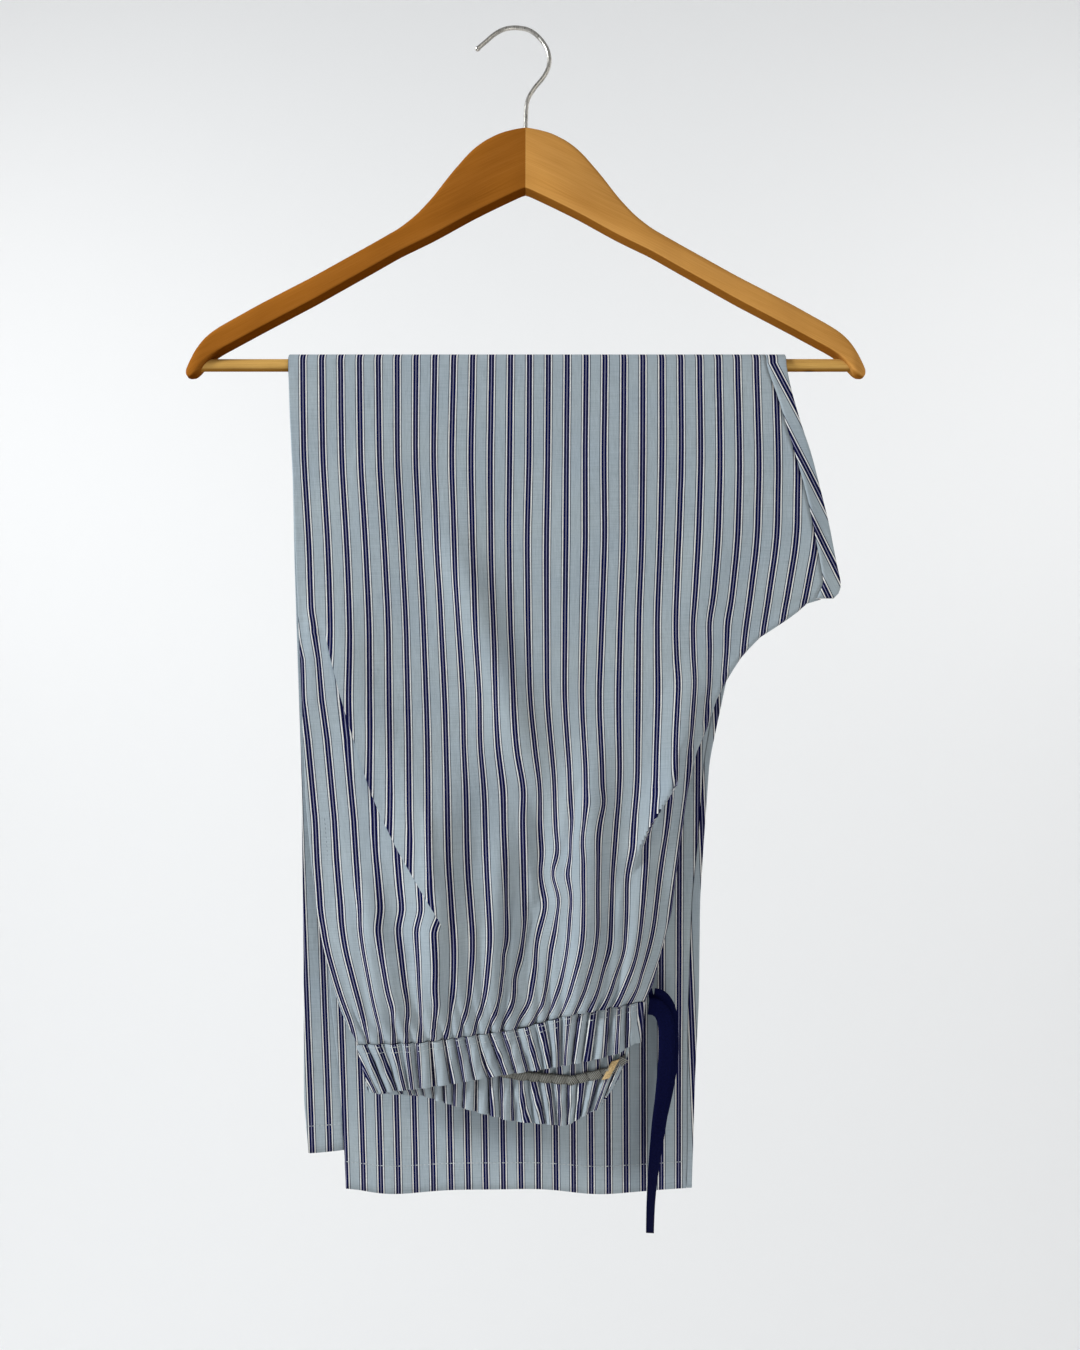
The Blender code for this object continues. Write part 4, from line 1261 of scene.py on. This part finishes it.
def brown_wood(name, dark, mid, light, knot=None):
    """Straight grained wood with painted shade on its undersides; the grain runs along the piece."""
    nodes = Nodes(name)
    uv = nodes.uv("grain")
    warped = nodes.math("MULTIPLY", nodes.noise(uv, (14.0, 60.0, 1.0), 3.0), 0.006)
    shift = nodes.add("ShaderNodeCombineXYZ", {"Y": warped}).outputs[0]
    bent = nodes.add("ShaderNodeVectorMath", {0: uv, 1: shift}, operation="ADD").outputs[0]
    broad = nodes.noise(bent, (6.0, 120.0, 1.0), 3.0, 0.55)
    fine = nodes.noise(bent, (30.0, 1500.0, 1.0), 3.0, 0.6)
    grain = nodes.math("ADD", nodes.math("MULTIPLY", broad, 0.5), nodes.math("MULTIPLY", fine, 0.5))
    colour = nodes.ramp(grain, ((0.3, dark), (0.5, mid), (0.7, light)))
    blotch = nodes.ramp(nodes.noise(uv, 18.0), ((0.3, (0.88, 0.86, 0.84)), (0.7, (1.08, 1.08, 1.06))))
    colour = nodes.multiply(colour, blotch)
    if knot is not None:
        colour = nodes.multiply(colour, knot_mark(nodes, uv, knot))
    # Painted shade: the colour darkens where the surface faces down, standing in for the shade under the arms
    # and the bar.
    facing = nodes.split(nodes.add("ShaderNodeNewGeometry").outputs["Normal"])
    upward = nodes.math("ADD", nodes.math("MULTIPLY", facing["Z"], 0.5), 0.5)
    painted_underside_shade = nodes.ramp(upward, ((0.08, (0.42, 0.32, 0.18)), (0.26, grey(1.0))))
    return nodes.surface({
        "Base Color": nodes.multiply(colour, painted_underside_shade), "Specular IOR Level": 0.0,
        "Roughness": nodes.ramp(nodes.noise(uv, 60.0, 3.0), ((0.3, grey(0.42)), (0.7, grey(0.56)))),
        "Normal": nodes.bump(fine, 0.00012, 0.5),
    })


def steel_wire():
    nodes = Nodes("steel_wire")
    place = nodes.add("ShaderNodeTexCoord").outputs["Object"]
    marks = nodes.noise(place, (900.0, 900.0, 250.0), 3.0)
    return nodes.surface({
        "Base Color": nodes.ramp(marks, ((0.3, (0.42, 0.40, 0.36)), (0.7, (0.62, 0.60, 0.56)))),
        "Metallic": 1.0, "Roughness": nodes.ramp(marks, ((0.3, grey(0.24)), (0.7, grey(0.4)))),
        "Normal": nodes.bump(marks, 0.00003, 0.4),
    })


# Studio

def make_camera():
    data = bpy.data.cameras.new("camera")
    data.sensor_width = SENSOR
    data.lens = SENSOR * CAMERA_DISTANCE / VIEW_HEIGHT
    camera = link(bpy.data.objects.new("camera", data))
    camera.location = (CAMERA_X * MM, -CAMERA_DISTANCE * MM, CAMERA_Z * MM)
    camera.rotation_euler = (math.radians(90.0), 0.0, 0.0)
    bpy.context.scene.camera = camera


def make_studio():
    """A pale floor that curves up into a wall far behind, a pale sky and five soft lights."""
    floor_z, wall_y, bend = -1.7, 2.6, 1.2
    outline = [(-9.0, floor_z), (wall_y - bend, floor_z)]
    for step in range(1, 13):
        angle = math.radians(step * 7.5)
        outline.append((wall_y - bend + bend * math.sin(angle), floor_z + bend * (1.0 - math.cos(angle))))
    outline.append((wall_y, 3.2))
    vertices = [(x, y, z) for x in (-9.0, 9.0) for y, z in outline]
    size = len(outline)
    faces = [(k, k + 1, size + k + 1, size + k) for k in range(size - 1)]
    mesh = bpy.data.meshes.new("backdrop")
    mesh.from_pydata(vertices, [], faces)
    mesh.shade_smooth()
    backdrop = link(bpy.data.objects.new("backdrop", mesh))
    mesh.materials.append(Nodes("paper").surface({"Base Color": (0.86, 0.86, 0.86, 1.0), "Roughness": 0.95}))
    world = bpy.data.worlds.new("studio")
    bpy.context.scene.world = world
    world.use_nodes = True
    sky = world.node_tree.nodes["Background"].inputs
    sky["Color"].default_value = (0.96, 0.98, 1.0, 1.0)
    sky["Strength"].default_value = 0.34
    for name, place, target, size, power, tint in (
        ("key", (-2.0, -0.8, 0.6), (0.0, 0.0, -0.45), 0.5, 57.0, (0.93, 0.97, 1.0)),
        ("fill", (1.4, -1.9, 0.5), (0.0, 0.0, -0.4), 1.2, 7.0, (1.0, 0.94, 0.84)),
        ("low", (0.35, -0.95, -1.25), (0.0, 0.0, -0.75), 0.6, 3.4, (1.0, 0.98, 0.94)),
        ("wall left", (-2.0, 0.8, 0.5), (-0.4, 2.6, -0.2), 1.6, 19.0, (1.0, 1.0, 1.0)),
        ("wall right", (2.0, 0.8, 0.5), (0.4, 2.6, -0.2), 1.6, 19.0, (1.0, 1.0, 1.0)),
    ):
        data = bpy.data.lights.new(name, "AREA")
        data.size = size
        data.energy = power
        data.color = tint
        light = link(bpy.data.objects.new(name, data))
        light.location = place
        aim = Vector(target) - Vector(place)
        light.rotation_euler = aim.to_track_quat("-Z", "Y").to_euler()


def make_trousers():
    cotton = striped_cotton()
    ribbon_cloth = plain_cloth("navy_ribbon", (0.0035, 0.0045, 0.030), 0.0009)
    make_ribbon("ribbon_long", LONG_END, ribbon_cloth, "drawstring_long_end")
    make_ribbon("ribbon_short", SHORT_END, ribbon_cloth, "drawstring_short_end")
    pale_thread = thread("pale_thread", (0.46, 0.50, 0.52))
    grey_thread = thread("grey_thread", (0.30, 0.30, 0.27))
    dark_thread = thread("dark_thread", (0.10, 0.11, 0.13))
    tape = plain_cloth("beige_tape", (0.56, 0.40, 0.20), 0.0006)
    overlock_cloth = plain_cloth("overlock_strip", (0.09, 0.09, 0.085), 0.0008)
    stitches = {
        LEFT_FRONT: [
            casing_stitches("stitch_band_a", 0.05, pale_thread),
            casing_stitches("stitch_band_b", 0.17, pale_thread),
            side_stitches("stitch_side", dark_thread),
            hem_stitches("stitch_hem_left_front", LEFT_FRONT, pale_thread, 1.0),
        ],
        RIGHT_FRONT: [hem_stitches("stitch_hem_right_front", RIGHT_FRONT, pale_thread, -1.0)],
        LEFT_BACK: [hem_stitches("stitch_hem_left_back", LEFT_BACK, pale_thread, -1.0)],
        RIGHT_BACK: [],
    }
    for layer, side in SIDES.items():
        name = side + "_panel"
        ply = sheet_object("cloth_" + name, ply_rows(layer), SHELL, cotton)
        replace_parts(ply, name)
    for layer, side in SIDES.items():
        name = "waistband_" + side
        band = make_casing("cloth_" + name, layer, cotton)
        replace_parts(band, name)
    overlock("overlock_loops", "overlock_strip", overlock_cloth, grey_thread)
    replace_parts(make_label("blank_tab", tape), "label_tab")


def make_hanger():
    # The two arms use one brown wood in a dark and a light copy. The left arm's darker colour is partly
    # painted shade and the right arm's lighter colour is partly painted light. The rest is a real difference
    # in tone between the two pieces.
    left_wood_tone_and_shade = brown_wood("wood_left_tone_and_shade", (0.235, 0.078, 0.008), (0.290, 0.101, 0.013), (0.340, 0.126, 0.020))
    right_wood_tone_and_light = brown_wood("wood_right_tone_and_light", (0.52, 0.235, 0.050), (0.62, 0.300, 0.075), (0.70, 0.355, 0.100))
    bar_wood = brown_wood("wood_bar", (0.46, 0.25, 0.07), (0.62, 0.36, 0.10), (0.74, 0.45, 0.15), BAR_KNOT)
    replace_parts(make_arm("wooden_arm_left", -1, left_wood_tone_and_shade), "hanger_arm_left")
    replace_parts(make_arm("wooden_arm_right", 1, right_wood_tone_and_light), "hanger_arm_right")
    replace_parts(make_bar("trouser_bar", bar_wood), "hanger_bar")
    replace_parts(make_hook("wire_hook", steel_wire()), "hanger_hook")


def main():
    bpy.context.scene.view_settings.view_transform = "Standard"
    make_camera()
    make_studio()
    make_trousers()
    make_hanger()


main()
